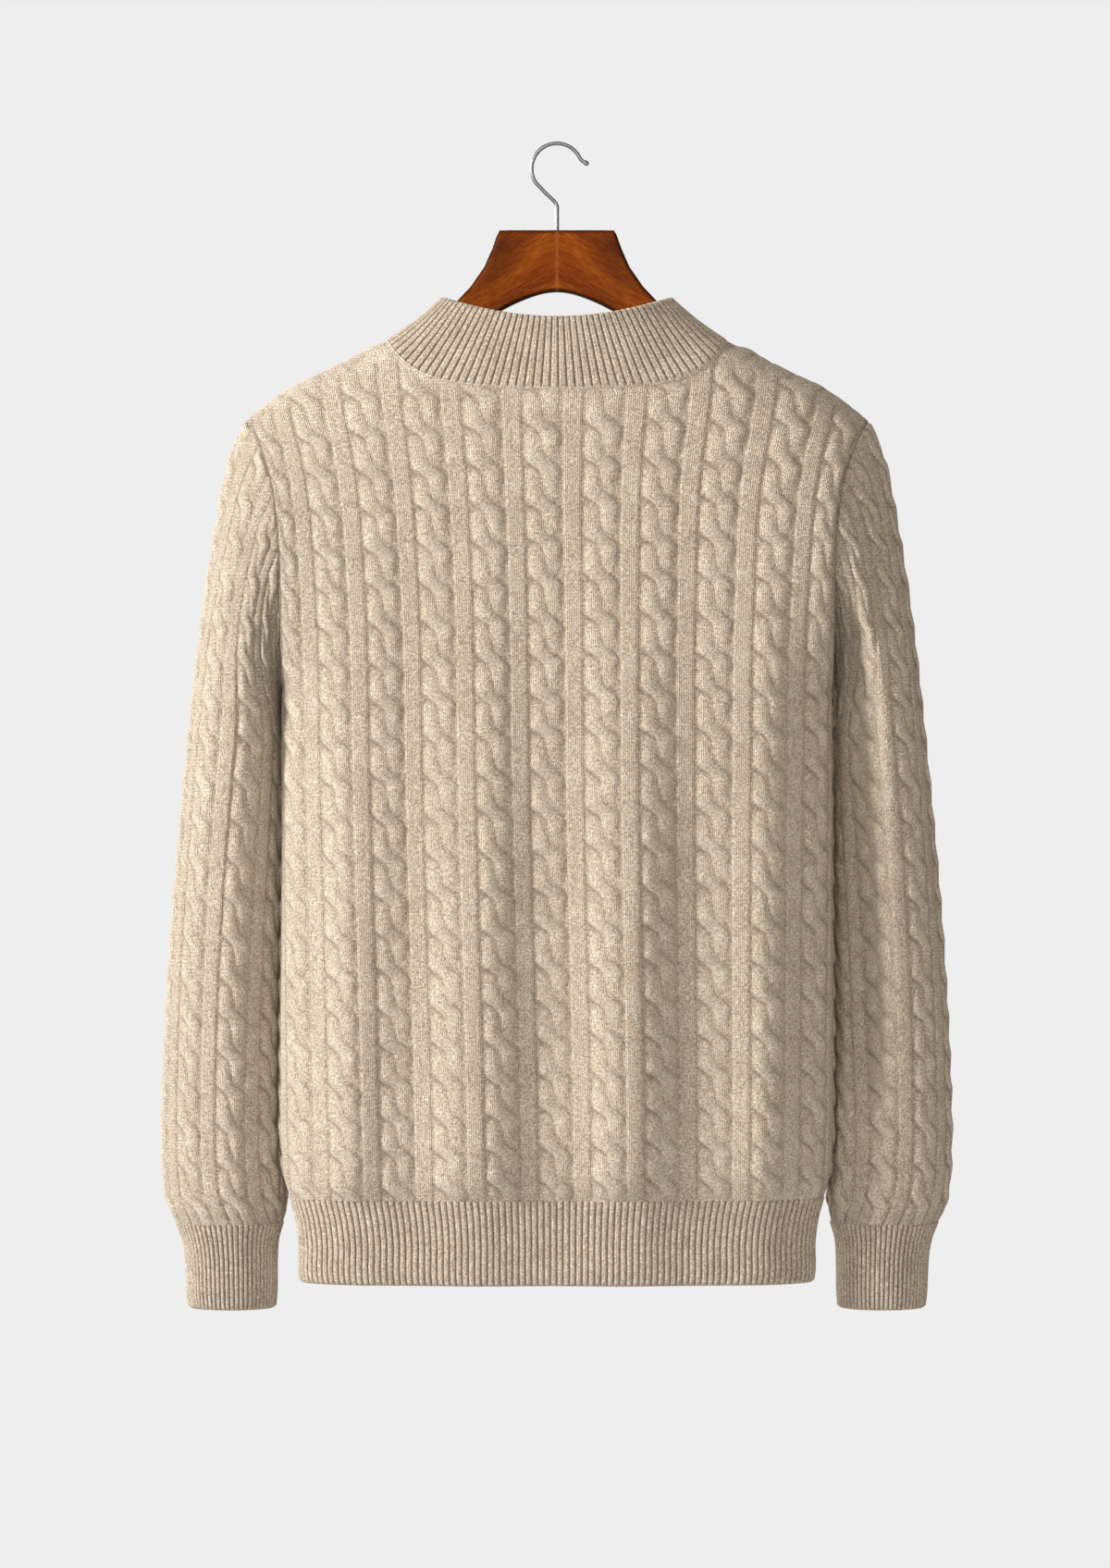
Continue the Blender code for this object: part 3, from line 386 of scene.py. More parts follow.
radius = radius + STEM_THREAD[1] * (steps < STEM_THREAD[0])
angle = np.arange(HOOK_SIDES) * 2 * pi / HOOK_SIDES
aside = np.stack([ahead[:, 1], -ahead[:, 0]], axis=-1)
x = smooth[:, 0, None] + radius[:, None] * np.cos(angle) * aside[:, 0, None]
z = smooth[:, 1, None] + radius[:, None] * np.cos(angle) * aside[:, 1, None]
y = radius[:, None] * np.sin(angle) + 0 * x
rings = np.stack([x, y, z], axis=-1)
hook = swept("hanger_hook_wire", rings, np.zeros((*x.shape, 2)), chrome())
stand_for(hook, "hanger_hook")


# ==================================================================== back
# The back panel: two-strand rope cables between narrow plain bands, with a sunk line on each
# side. It hangs from the shoulder seams in four soft folds, deepest a little above the hem.

# Heights on the body, below the crown of the hook
HEM_BOTTOM = -843.0
HEM_SEAM = -780.0
UNDERARM = -404.0
SHOULDER_POINT = -205.0

# Body section
SIDE_ROUNDNESS = 3.0       # exponent of the rounded side of the section
SHOULDER_ROUND = 60.0      # how quickly the shoulder falls away from its ridge

# Armhole loop
ARMHOLE_SIDE = 203.5
SHOULDER_REACH = 27.5
ARMHOLE_HALF_DEPTH = 46.0
UNDERARM_EASE = 160.0             # how far the foot of the armhole is felt in the panel
SEAM_END_ANGLE = radians(18)      # how far round from the shoulder point its seam ends

# Neck
NECK_HALF_WIDTH = 127.0
NECK_BACK = -184.0
NECK_SIDE = -146.0
NECK_FRONT = -228.0
NECK_BACK_BEND = 2.9              # how soon the neck seam drops away behind the shoulder
NECK_FRONT_BEND = 1.0
NECK_SEAM_START = 119.0           # where the shoulder seam meets the neck
COLLAR_TOP_HALF_WIDTH = 84.0
COLLAR_TOP_BACK = -129.5
COLLAR_TOP_SIDE = -113.0
COLLAR_TOP_FRONT = -173.0
COLLAR_TOP_BACK_DEPTH = 38.0
COLLAR_TOP_FRONT_DEPTH = 44.0

SHOULDER_RIDGE = table(
    "out height",
    (0, -112),
    (60, -121),
    (127, -146),
    (170, -166.5),
    (209, -187),
    (231, -205),
    (240, -214),
)

SHOULDER_SEAM = table(
    "out height",
    (119, -158.0),
    (145, -167),
    (170, -174.5),
    (205, -191),
    (228, -208.5),
)

BODY_ROWS = table(
    "height half_width half_depth fold_share",
    (-780, 197.5, 46, 0.45),
    (-768, 201.0, 49, 0.75),
    (-745, 203.7, 52, 0.95),
    (-690, 204.5, 53, 1.0),
    (-560, 204.0, 55, 0.84),
    (-404, 203.5, 57, 0.34),
    (-300, 203.5, 58, 0.08),
    (-100, 203.5, 58, 0.0),
)

FOLD_DEPTH = 1.5
BACK_FOLDS = table(
    "crest lift left_spread right_spread",
    (153, 10.0, 26, 30),
    (60, 10.0, 34, 36),
    (-54, 11.0, 36, 27),
    (-155, 8.5, 30, 20),
)
FRONT_FOLDS = table(
    "crest lift left_spread right_spread",
    (148, 8.0, 24, 34),
    (70, 6.5, 20, 24),
    (-84, 7.5, 26, 20),
    (-157, 7.0, 30, 20),
)

HEM_ROWS = table(
    "height half_width half_depth fold_share",
    (-843, 189.5, 43, 0.30),
    (-838, 190.5, 43.5, 0.30),
    (-812, 191.0, 44, 0.33),
    (-797, 193.0, 44.5, 0.38),
    (-780, 197.5, 46, 0.45),
)

SLEEVE_RINGS = table(
    "step outer_x outer_z inner_x inner_z half_depth centre_y",
    (0, 231.0, -205.0, 203.5, -404.0, 46.0, 0.0),
    (1, 243.0, -235.0, 204.8, -408.0, 48.0, -1.5),
    (2, 252.0, -281.0, 205.2, -413.0, 50.0, -4.0),
    (3, 260.5, -335.0, 205.0, -420.0, 51.0, -8.0),
    (4, 267.5, -390.0, 204.6, -432.0, 51.0, -12.0),
    (5, 273.5, -445.0, 204.0, -455.0, 50.0, -16.0),
    (6, 280.0, -510.0, 203.6, -514.0, 48.0, -18.0),
    (7, 286.0, -580.0, 203.6, -581.0, 46.0, -19.0),
    (8, 290.5, -650.0, 203.6, -650.0, 43.5, -20.0),
    (9, 293.0, -710.0, 203.4, -710.0, 41.0, -20.0),
    (10, 293.2, -748.0, 203.0, -748.0, 39.5, -20.0),
    (11, 291.0, -778.0, 202.5, -778.0, 38.0, -19.0),
    (12, 283.5, -800.0, 204.7, -800.0, 35.0, -18.0),
)
CUFF_RINGS = table(
    "step outer_x outer_z inner_x inner_z half_depth centre_y",
    (0, 283.5, -800.0, 204.7, -800.0, 35.0, -18.0),
    (1, 278.5, -813.0, 208.4, -813.0, 32.0, -18.0),
    (2, 276.0, -828.0, 209.4, -828.0, 30.5, -18.0),
    (3, 275.0, -850.0, 209.6, -850.0, 30.0, -18.0),
    (4, 273.5, -864.0, 210.6, -864.0, 29.0, -18.0),
)

# ---------------------------------------------------------------- tables and curves

def smooth_table(rows, column, at):
    """One column of a table, on a smooth curve through its rows."""
    keys = np.array([row[0] for row in rows], float)
    values = np.array([getattr(row, column) for row in rows], float)
    slopes = np.gradient(values, keys)
    at = np.clip(np.asarray(at, float), keys[0], keys[-1])
    low = np.clip(np.searchsorted(keys, at, side="right") - 1, 0, len(keys) - 2)
    span = keys[low + 1] - keys[low]
    t = (at - keys[low]) / span
    rise = 3 * t**2 - 2 * t**3
    return (
        values[low] * (1 - rise)
        + values[low + 1] * rise
        + slopes[low] * span * (t**3 - 2 * t**2 + t)
        + slopes[low + 1] * span * (t**3 - t**2)
    )


def smooth_step(value, start, end):
    """0 before start, 1 after end, eased between."""
    t = np.clip((np.asarray(value, float) - start) / (end - start), 0, 1)
    return t * t * (3 - 2 * t)


def points(x, y, z):
    """Join three coordinates, of any matching shapes, into points."""
    x, y, z = np.broadcast_arrays(x, y, z)
    return np.stack([x, y, z], axis=-1).astype(float)


def unit(vectors):
    return vectors / np.linalg.norm(vectors, axis=-1, keepdims=True)


# ---------------------------------------------------------------- form of the torso

def ridge_height(x):
    return smooth_table(SHOULDER_RIDGE, "height", np.abs(x))


def side_corner(share):
    """1 at the centre of a panel, falling round to 0 at its side."""
    return np.clip(1 - np.abs(share) ** SIDE_ROUNDNESS, 0, 1) ** (1 / SIDE_ROUNDNESS)


def fold_lift(x, front):
    """How far the soft hanging folds stand out, crest by crest."""
    lift = 0
    for fold in FRONT_FOLDS if front else BACK_FOLDS:
        side = x - fold.crest
        spread = np.where(side > 0, fold.left_spread, fold.right_spread)
        lift = lift + fold.lift * np.exp(-((side / spread) ** 2))
    if front:
        lift = lift * smooth_step(np.abs(x), 20, 60)
    return lift * FOLD_DEPTH


def armhole(angle):
    """Armhole loop: 0 at the shoulder point, positive round the back."""
    rise = (1 + np.cos(angle)) / 2
    x = ARMHOLE_SIDE + SHOULDER_REACH * rise**5
    y = ARMHOLE_HALF_DEPTH * np.sin(angle)
    z = UNDERARM + (SHOULDER_POINT - UNDERARM) * rise
    return x, y, z


HALF_ARMHOLE = (SHOULDER_POINT - UNDERARM) / 2
SEAM_END = armhole(SEAM_END_ANGLE)     # where the shoulder seam meets the armhole, on the back


def underarm_depth(above, share):
    """Depth of the armhole a little above its foot, eased into the panel away from it."""
    ease = UNDERARM_EASE * (1 - share)
    height = (above + np.sqrt(above**2 + ease**2)) / 2
    down = np.clip(HALF_ARMHOLE - height, 0, None) / HALF_ARMHOLE
    return ARMHOLE_HALF_DEPTH * np.sqrt(1 - down**2)


def armhole_out(angle, hand):
    """Outward direction of the cloth at the armhole seam."""
    lean = 0.006 * (1 + np.cos(angle)) / 2 * hand
    return unit(points(lean, np.sin(angle) / ARMHOLE_HALF_DEPTH, np.cos(angle) / HALF_ARMHOLE))


def ridge_distance(x, z):
    """Square root of the drop below the shoulder ridge."""
    return np.sqrt(np.clip(ridge_height(x) - z, 0, None))


def section_depth(distance, half_depth):
    """Depth of the torso at a signed distance from the shoulder ridge."""
    return np.sign(distance) * half_depth * np.sqrt(1 - np.exp(-(distance**2) / SHOULDER_ROUND))


def neck_curve(turn):
    """Neck seam: a turn of 0 at the centre back, pi at the centre front."""
    x = NECK_HALF_WIDTH * np.sin(turn)
    end = np.where(np.cos(turn) > 0, NECK_BACK, NECK_FRONT)
    bend = np.where(np.cos(turn) > 0, NECK_BACK_BEND, NECK_FRONT_BEND)
    fall = (1 - np.exp(-bend * np.cos(turn) ** 2)) / (1 - np.exp(-bend))
    z = NECK_SIDE + (end - NECK_SIDE) * fall
    distance = ridge_distance(x, z) * np.sign(np.cos(turn))
    half_depth = smooth_table(BODY_ROWS, "half_depth", z)
    return points(x, section_depth(distance, half_depth), z)


def neck_out(turn):
    """Outward direction of the cloth at the neck seam."""
    side = np.abs(np.sin(turn))
    face = np.sign(np.cos(turn)) * np.abs(np.cos(turn)) ** 0.35
    return unit(points(0.5 * np.sign(np.sin(turn)) * side**4.5, face, 0.17 + 0.7 * side**5))


def seam_turn(x):
    """Turn of the neck seam at a given half width, on the back."""
    return np.arcsin(np.clip(x / NECK_HALF_WIDTH, -1, 1))


FRONT_NECK_SHARE = 0.64        # share of the front's width where the shoulder seam starts
FRONT_STRAIGHT_SHARE = 0.5    # the columns run straight up to the neck as far as this
FRONT_STRAIGHT_OUT = 117.8


def neck_turns(share, front):
    """Turns of the neck seam at the columns of a panel."""
    if not front:
        return seam_turn(share * SEAM_END[0])
    straight_turn = pi - seam_turn(FRONT_STRAIGHT_OUT)
    near = pi - seam_turn(share / FRONT_STRAIGHT_SHARE * FRONT_STRAIGHT_OUT)
    part = (share - FRONT_STRAIGHT_SHARE) / (FRONT_NECK_SHARE - FRONT_STRAIGHT_SHARE)
    far = straight_turn + (seam_turn(NECK_SEAM_START) - straight_turn) * part
    return np.where(share < FRONT_STRAIGHT_SHARE, near, far)


def top_edge(share, front):
    """Upper edge of half a panel: the neck seam, then the shoulder seam."""
    end_x, end_y, end_z = SEAM_END
    neck_share = FRONT_NECK_SHARE if front else NECK_SEAM_START / end_x
    neck = neck_curve(neck_turns(share, front))
    part = np.clip((share - neck_share) / (1 - neck_share), 0, 1)
    x = NECK_SEAM_START + (end_x - NECK_SEAM_START) * part
    near_end = smooth_step(x, 165, end_x)
    z = smooth_table(SHOULDER_SEAM, "height", x)
    z = z + (end_z - smooth_table(SHOULDER_SEAM, "height", end_x)) * near_end
    y = section_depth(ridge_distance(x, z), BODY_ROWS[-1].half_depth)
    end_depth = section_depth(ridge_distance(end_x, end_z), BODY_ROWS[-1].half_depth)
    seam = points(x, y + (end_y - end_depth) * near_end, z)
    return np.where((share <= neck_share + 1e-9)[..., None], neck, seam)


def torso(share, level, front, hand):
    """Points of a torso panel.

    share runs from 0 at the centre line to 1 at the side or armhole. level runs from -1 at
    the hem seam through 0 at the underarm to 1 at the neck and shoulder seam. hand is 1 on
    the wearer's left and -1 on the right.
    """
    share, level = np.broadcast_arrays(share, level)
    face = -1 if front else 1
    up = np.clip(level, 0, 1)
    down = np.clip(-level, 0, 1)

    angle = pi + (face * SEAM_END_ANGLE - pi) * up
    edge_x, edge_y, edge_z = armhole(angle)
    edge_y = edge_y * face
    edge_distance = ridge_distance(edge_x, edge_z) * np.where(np.sin(angle) >= 0, face, -face)
    low_distance = face * ridge_distance(ARMHOLE_SIDE, UNDERARM)
    top_distance = ridge_distance(*SEAM_END[0::2])
    weight = (edge_distance - low_distance) / (top_distance - low_distance)

    top = top_edge(share, front)
    start = face * ridge_distance(share * ARMHOLE_SIDE, UNDERARM)
    top_sign = np.where(top[..., 1] >= 0, 1, -1)
    finish = ridge_distance(top[..., 0], top[..., 2]) * top_sign
    distance = start + (finish - start) * weight
    blend = weight**2
    upper_x = edge_x * (share * (1 - blend) + top[..., 0] / SEAM_END[0] * blend)
    upper_z = ridge_height(upper_x) - distance**2

    lower_z = UNDERARM + (HEM_SEAM - UNDERARM) * down
    lower_x = share * smooth_table(BODY_ROWS, "half_width", lower_z)
    lower = level < 0
    x = np.where(lower, lower_x, upper_x)
    z = np.where(lower, lower_z, upper_z)
    distance = np.where(lower, face * ridge_distance(x, z), distance)
    low_half = lower | (edge_z < (UNDERARM + SHOULDER_POINT) / 2)
    above = np.where(lower, z, edge_z) - UNDERARM
    edge_y = np.where(low_half, face * underarm_depth(above, share), edge_y)

    depth = section_depth(distance, smooth_table(BODY_ROWS, "half_depth", z))
    near_top = np.where(lower, 0, weight**6)
    folds = smooth_table(BODY_ROWS, "fold_share", z) * fold_lift(x * hand, front)
    depth = depth + face * folds * smooth_step(np.abs(distance), 6, 12) * (1 - near_top)
    y = edge_y + (depth - edge_y) * side_corner(share)
    top_half_depth = smooth_table(BODY_ROWS, "half_depth", top[..., 2])
    end_y = np.where(lower, 0, SEAM_END[1])
    meets = end_y + (section_depth(finish, top_half_depth) - end_y) * side_corner(share)
    y = y + (top[..., 1] - meets) * near_top
    return points(x * hand, y, z)


def section_point(share, height, front, hand, rows):
    """Points of a level section of the body or of the hem rib."""
    share, height = np.broadcast_arrays(share, height)
    face = -1 if front else 1
    x = share * smooth_table(rows, "half_width", height) * hand
    half_depth = smooth_table(rows, "half_depth", height)
    folds = smooth_table(rows, "fold_share", height) * fold_lift(x, front)
    return points(x, face * (half_depth + folds) * side_corner(share), height)


# ---------------------------------------------------------------- form of the sleeve

def sleeve(rings, angle, step, hand):
    """Points of a sleeve or cuff. An angle of 0 is on the outer side, positive to the back."""
    angle, step = np.broadcast_arrays(angle, step)
    measures = [smooth_table(rings, column, step) for column in rings[0]._fields[1:]]
    outer_x, outer_z, inner_x, inner_z, half_depth, centre_y = measures
    rise = (1 + np.cos(angle)) / 2
    x = inner_x + (outer_x - inner_x) * rise
    z = inner_z + (outer_z - inner_z) * rise
    y = centre_y + half_depth * np.sin(angle)
    if rings is SLEEVE_RINGS:
        near_armhole = 1 - smooth_step(step, 0, 4)
        x = x + SHOULDER_REACH * (rise**5 - rise) * near_armhole
    return points(x * hand, y, z)


def grid_out(grid, closed):
    """Outward directions of a grid of points, from the lines through each point."""
    if closed:
        across = np.roll(grid, -1, axis=1) - np.roll(grid, 1, axis=1)
    else:
        across = np.gradient(grid, axis=1)
    along = np.gradient(grid, axis=0)
    return unit(np.cross(across, along))


CLOTH = 3.0                # thickness of the wall under the raised knit
REPEAT = 41.0              # width of one repeat: cable, gutter, band, gutter
TURN = 28.0                # length of one crossing of a cable
STRAND_OUT = 5.5           # how far a strand swings from the middle of its cable
STRAND_HALF_WIDTH = 6.0
STRAND_HEIGHT = 3.6
STRAND_CROSSING = 1.25     # how far the front strand stands over the one behind
STRAND_FOOT = -1.1
STRAND_HURRY = 1.35        # how much of the swing happens at the crossing itself
STRAND_ROUND = 0.43
STRAND_SLANT = 0.26        # how much a crossing strand's level width grows
BAND_START = 14.0
BAND_HEIGHT = 1.2
GROOVE = 0.35
SEAM_DIP = 0.3             # how far the knit sinks along a seam
TOP_SHARE = 0.15           # share of its relief that the knit has at the neck and shoulder seams
RIB_SHARE = 0.45           # the same, where it starts from a rib
RIB_REACH = 8              # how far from the rib it is whole
WALE = 2.73                # width of one column of stitches
COURSE = 2.2               # height of one row of stitches
# The colour that painted shade darkens the yarn towards, in creases and sunk lines.
CREASE_SHADE_COLOUR = (0.15, 0.085, 0.045, 1)
# The shade painted beside the crossing strands and along the grooves is this dark.
CABLE_SHADE = 0.46         # how dark the lines between the strands are
TONE_PLACES = (0.46, 0.60, 0.74)
FIBRE_TINTS = [(0.35, (1.04, 0.995, 0.93)), (0.5, (1, 1, 1)), (0.65, (0.97, 1.0, 1.06))]
HAIRS_SCALE = (1000, 1000, 360)
MESH_RELIEF = 0.62         # share of the relief that the mesh holds, the rest is in the finish
INNER_STEP = 4             # the inner skin has one cell for this many outer ones
HALF_COLUMNS = 128
LOWER_ROWS = 176           # rows of points below the underarm, and above it
UPPER_ROWS = 120
BODY_LINE = 2.1            # from one of those rows to the next
ROW_SAG = 9                # how far the rows of crossings sag on the wearer's left
ROW_SAG_REACH = 200

UNEVEN_ROWS = table(
    "size across up start",
    (0.04, 0.061, 0.047, 0),
    (0.03, 0.027, -0.093, 1),
)
BODY_CROSSINGS = table(
    "height count",
    (-790, -17.9),
    (-700, -14.45),
    (-600, -10.72),
    (-450, -5.45),
    (-296.5, 0.0),
    (-100, 6.9),
)


def rope_cable(across, turns):
    """Height of a two-strand cable. turns counts its crossings upwards."""
    swing = pi * (0.5 - turns)
    front = np.abs(np.sin(swing))
    part = np.clip(STRAND_HURRY * np.cos(swing), -1, 1)
    centre = STRAND_OUT * np.sin(pi / 2 * part) * np.sign(np.sin(swing))
    level_width = STRAND_HALF_WIDTH / (1 - STRAND_SLANT * front**2)
    strands = []
    for way in (1, -1):
        off = (across - way * centre) / level_width
        crown = np.clip(1 - off**2, 0, 1) ** STRAND_ROUND
        strands.append(STRAND_FOOT + STRAND_HEIGHT * crown + way * STRAND_CROSSING * front)
    return np.maximum(*strands)


def cable_knit(repeats, turns):
    """Height of the body knit. A whole number of repeats is the middle of a cable."""
    across = (repeats - np.round(repeats)) * REPEAT
    aside = np.abs(across)
    band = BAND_HEIGHT * smooth_step(aside, BAND_START - 1.0, BAND_START + 1.5)
    groove = GROOVE * (1 - smooth_step(np.abs(aside - BAND_START + 0.8), 0.2, 1.3))
    return np.maximum(rope_cable(across, turns), band - groove)


def rim(outer_line, inner_line, flip):
    """Triangles between the fine edge of a sheet and the coarse one behind it."""
    near, far = inner_line[:-1, None], inner_line[1:, None]
    number = np.arange(INNER_STEP)
    cell = np.arange(len(near))[:, None] * INNER_STEP + number
    anchor = np.where(number < INNER_STEP // 2, near, far)
    fan = np.stack([outer_line[cell + 1], outer_line[cell], anchor], axis=-1)
    middle = outer_line[cell[:, INNER_STEP // 2, None]]
    found = np.concatenate([fan, np.stack([middle, near, far], axis=-1)], axis=1).reshape(-1, 3)
    return found[:, ::-1] if flip else found


def knit_sheet(name, base, out, height, uv, thickness, material, closed=False):
    """One closed cloth shell: a fine relief outside and a coarse plain skin inside."""
    shape = base.shape[:2]
    outer = base + out * height[..., None]
    inner = base - out * np.broadcast_to(thickness, shape)[..., None]
    inner, inner_uv = inner[::INNER_STEP, ::INNER_STEP], uv[::INNER_STEP, ::INNER_STEP]
    layer = shape[0] * shape[1]
    outer_numbers = np.arange(layer).reshape(shape)
    inner_numbers = layer + np.arange(inner[..., 0].size).reshape(inner.shape[:2])
    quads = [grid_quads(*shape, closed), grid_quads(*inner.shape[:2], closed, layer, True)]
    wrap = [0] if closed else []
    fans = []
    for row, flip in ((0, False), (-1, True)):
        lines = [np.append(numbers[row], numbers[row][wrap]) for numbers in (outer_numbers, inner_numbers)]
        fans.append(rim(*lines, flip))
    if not closed:
        for column, flip in ((0, True), (-1, False)):
            fans.append(rim(outer_numbers[:, column], inner_numbers[:, column], flip))
    verts = np.concatenate([outer.reshape(-1, 3), inner.reshape(-1, 3)])
    uvs = np.concatenate([uv.reshape(-1, 2), inner_uv.reshape(-1, 2)])
    return make_mesh(name, verts, np.concatenate(quads), np.concatenate(fans), uvs, material)


def heather(tree, shader, relief, shade, tones):
    """Flecked, brushed yarn over a relief height in mm: colour, nap and a soft sheen.

    shade is how far painted shade darkens the yarn in a crease, from 0 to 1. tones are its dark, middle
    and light colours.
    """
    place = object_place(tree)
    hairs_place = add_node(tree, "ShaderNodeMapping", {"Vector": place, "Scale": HAIRS_SCALE})
    hairs = noise(tree, hairs_place.outputs[0], 1.0, 3.0, 0.8, 1.8)
    fleck = noise(tree, place, 700.0, 1.0, 0.6)
    cloud = noise(tree, place, 60.0, 3.0, 0.6)
    fibre = noise(tree, place, 420.0, 2.0, 0.7)
    # Raised knit is painted a little lighter and its hollows a little darker, a painted shade over the
    # random flecks.
    flecks_and_relief_shade = fleck * 0.60 + hairs * 0.40 + cloud * 0.15 + relief * 0.03
    colour = ramp(tree, flecks_and_relief_shade, list(zip(TONE_PLACES, tones)))
    tinted = mixed(tree, 1.0, colour, ramp(tree, fibre, FIBRE_TINTS), "MULTIPLY")
    set_inputs(
        shader,
        {
            "Base Color": mixed(tree, shade, tinted, CREASE_SHADE_COLOUR),
            "Normal": bump(tree, hairs * 0.5 + relief, 1.0, METRES),
            "Roughness": 0.95,
            "Specular IOR Level": 0.15,
            "Sheen Weight": 0.3,
            "Sheen Roughness": 0.5,
            "Sheen Tint": (1.0, 0.93, 0.82, 1),
        },
    )


def stitches(wale, course, width, depth):
    """Height in mm of knit stitches: two slanting legs to each wale."""
    side = maths("PINGPONG", wale / width, 0.5) * 2.0
    leg = maths("SINE", side * pi)
    slant = course / COURSE + side * 0.5
    loop = maths("SINE", slant * (2 * pi)) * 0.35
    return leg * (loop + 0.65) * depth


def cable_wool(name, tones):
    """The body knit. Its UV map holds millimetres across the repeats and up the crossings."""
    material, tree, shader = start_material(name)
    uv, run, climb = split_uv(tree)
    repeats = run / REPEAT
    across = (repeats - maths("ROUND", repeats)) * REPEAT
    aside = maths("ABSOLUTE", across)
    swing = climb / -TURN * pi + pi / 2
    sine = maths("SINE", swing)
    front = maths("ABSOLUTE", sine)
    part = maths("MAXIMUM", maths("MINIMUM", maths("COSINE", swing) * STRAND_HURRY, 1.0), -1.0)
    centre = maths("SINE", part * (pi / 2)) * STRAND_OUT * maths("SIGN", sine)
    narrow = (1.0 - front * front * STRAND_SLANT) / STRAND_HALF_WIDTH
    offs = [(across - centre) * narrow, (across + centre) * narrow]
    heights = []
    for off, way in zip(offs, (1, -1)):
        crown = maths("POWER", maths("MAXIMUM", 1.0 - off * off, 0.0), STRAND_ROUND) * STRAND_HEIGHT
        heights.append(crown + front * (way * STRAND_CROSSING) + STRAND_FOOT)
    band = map_range(aside, BAND_START - 1.0, BAND_START + 1.5, 0.0, BAND_HEIGHT)
    groove = map_range(maths("ABSOLUTE", aside - (BAND_START - 0.6)), 0.1, 1.5, 1.0, 0.0)
    ridge = map_range(maths("ABSOLUTE", aside - (BAND_START + 1.6)), 0.0, 1.5, 0.5, 0.0)
    ground = band + ridge - groove * GROOVE
    over = maths("MAXIMUM", *heights)
    relief = maths("MAXIMUM", over, ground)
    is_front = maths("GREATER_THAN", *heights)
    is_cable = maths("GREATER_THAN", over, ground)
    strand_wale = ((offs[0] - offs[1]) * is_front + offs[1]) * STRAND_HALF_WIDTH
    wale = (strand_wale - across) * is_cable + across
    fine = relief * (1 - MESH_RELIEF) + stitches(wale, climb, WALE, 0.75)
    # Painted shade: darker just outside a strand's edges where it crosses over, and along the sunk grooves,
    # in uneven patches along them.
    edges = maths("MAXIMUM", crease(offs[0]), crease(offs[0] * -1.0) * 0.45) * (front * front)
    groove_shade_patches = map_range(noise(tree, uv, 0.16, 2.0, 0.6), 0.35, 0.65, 0.15, 1.0, "LINEAR")
    lines = groove * groove_shade_patches * 0.55
    heather(tree, shader, fine, maths("MAXIMUM", edges, lines) * CABLE_SHADE, tones)
    return material


# Where shade is painted just outside a strand's edge.
def crease(off):
    """1 just outside the edge of a strand, where off is 1, fading away from it on both sides."""
    return map_range(off, 0.72, 1.0) * map_range(off, 1.05, 1.75, 1.0, 0.0)


def fine_lines(start, end, count):
    """Shares of the half width at even steps round the rounded section, and their runs in mm."""
    share = np.linspace(0, 1, 1200)
    line = section_point(share, UNDERARM, False, 1, BODY_ROWS)
    run = run_along(line)
    first, last = np.interp([start, end], share, run)
    runs = np.linspace(first, last, count)
    return np.interp(runs, run, share), runs


def edge_fade(row_count, column_count, row_mm, column_mm, width=5.0, sides=(1, 1, 1, 1)):
    """1 over a piece, falling to 0 at its seams: first row, last row, first and last column."""
    rows = np.arange(row_count)[:, None] * row_mm
    columns = np.arange(column_count)[None, :] * column_mm
    fade = np.ones((row_count, column_count))
    gaps = (rows, rows[::-1], columns, columns[:, ::-1])
    for gap, wanted in zip(gaps, sides):
        if wanted:
            fade = fade * (0.5 - 0.5 * np.cos(pi * np.clip(gap / width, 0, 1)))
    return fade


def shoulder_out(place, hand):
    """Outward direction of the cloth over the shoulders, from the fall of the surface."""
    x, y = np.abs(place[..., 0]), place[..., 1]
    slope_x = (ridge_height(x + 1) - ridge_height(x - 1)) / 2
    half_depth = BODY_ROWS[-1].half_depth
    slope_y = 2 * SHOULDER_ROUND * y / np.clip(half_depth**2 - y**2, 100, None)
    out = unit(points(-slope_x, slope_y, 1))
    out[..., 0] *= hand
    return out


def panel_out(base, share, levels, front, hand):
    """Outward directions of half a panel, the same as its neighbours' along each seam."""
    out = grid_out(base, False) * hand * (1 if front else -1)
    neck_share = FRONT_NECK_SHARE if front else NECK_SEAM_START / SEAM_END[0]
    rim = neck_out(neck_turns(np.minimum(share, neck_share), front))
    rim[:, 0] *= hand
    rim = np.where((share <= neck_share)[:, None], rim, shoulder_out(base[-1], hand))
    near_top = smooth_step(levels, 0.93, 1.0)[:, None, None]
    out = unit(out * (1 - near_top) + rim[None] * near_top)
    angle = (pi + (SEAM_END_ANGLE - pi) * np.clip(levels, 0, 1)) * (-1 if front else 1)
    edge = armhole_out(angle, hand)
    edge[levels < 0] = (hand, 0, 0)
    near_side = smooth_step(share, 0.985, 1.0)[None, :, None]
    return unit(out * (1 - near_side) + edge[:, None] * near_side)


def plain_top(base, start, end):
    """1 over a panel: the knit lies plainer along the neck and shoulder seams."""
    drop = np.linalg.norm(base - base[-1:], axis=-1)
    return TOP_SHARE + (1 - TOP_SHARE) * smooth_step(drop, start, end)


def half_raised(rise):
    """1 over a piece: the cables are half raised where they start from a rib."""
    return RIB_SHARE + (1 - RIB_SHARE) * smooth_step(rise, 0, RIB_REACH)


def knit_edges(base, columns, column_mm):
    """1 over a panel, falling at its seams."""
    fade = edge_fade(len(base), columns, BODY_LINE, column_mm, width=3.0, sides=(0, 1, 1, 1))
    return fade * half_raised(base[..., 2] - base[:1, :, 2])


def body_turns(z, x):
    """Crossings counted upwards. The rows sag a little towards the wearer's left, none quite even."""
    turns = smooth_table(BODY_CROSSINGS, "count", z + ROW_SAG * np.clip(x / ROW_SAG_REACH, -0.2, 1))
    for wave in UNEVEN_ROWS:
        turns = turns + wave.size * np.sin(wave.across * x + wave.up * z + wave.start)
    return turns


def join_halves(left, right):
    """One grid from the two halves of a panel, which share their middle column."""
    return np.concatenate([left[:, :0:-1], right], axis=1)


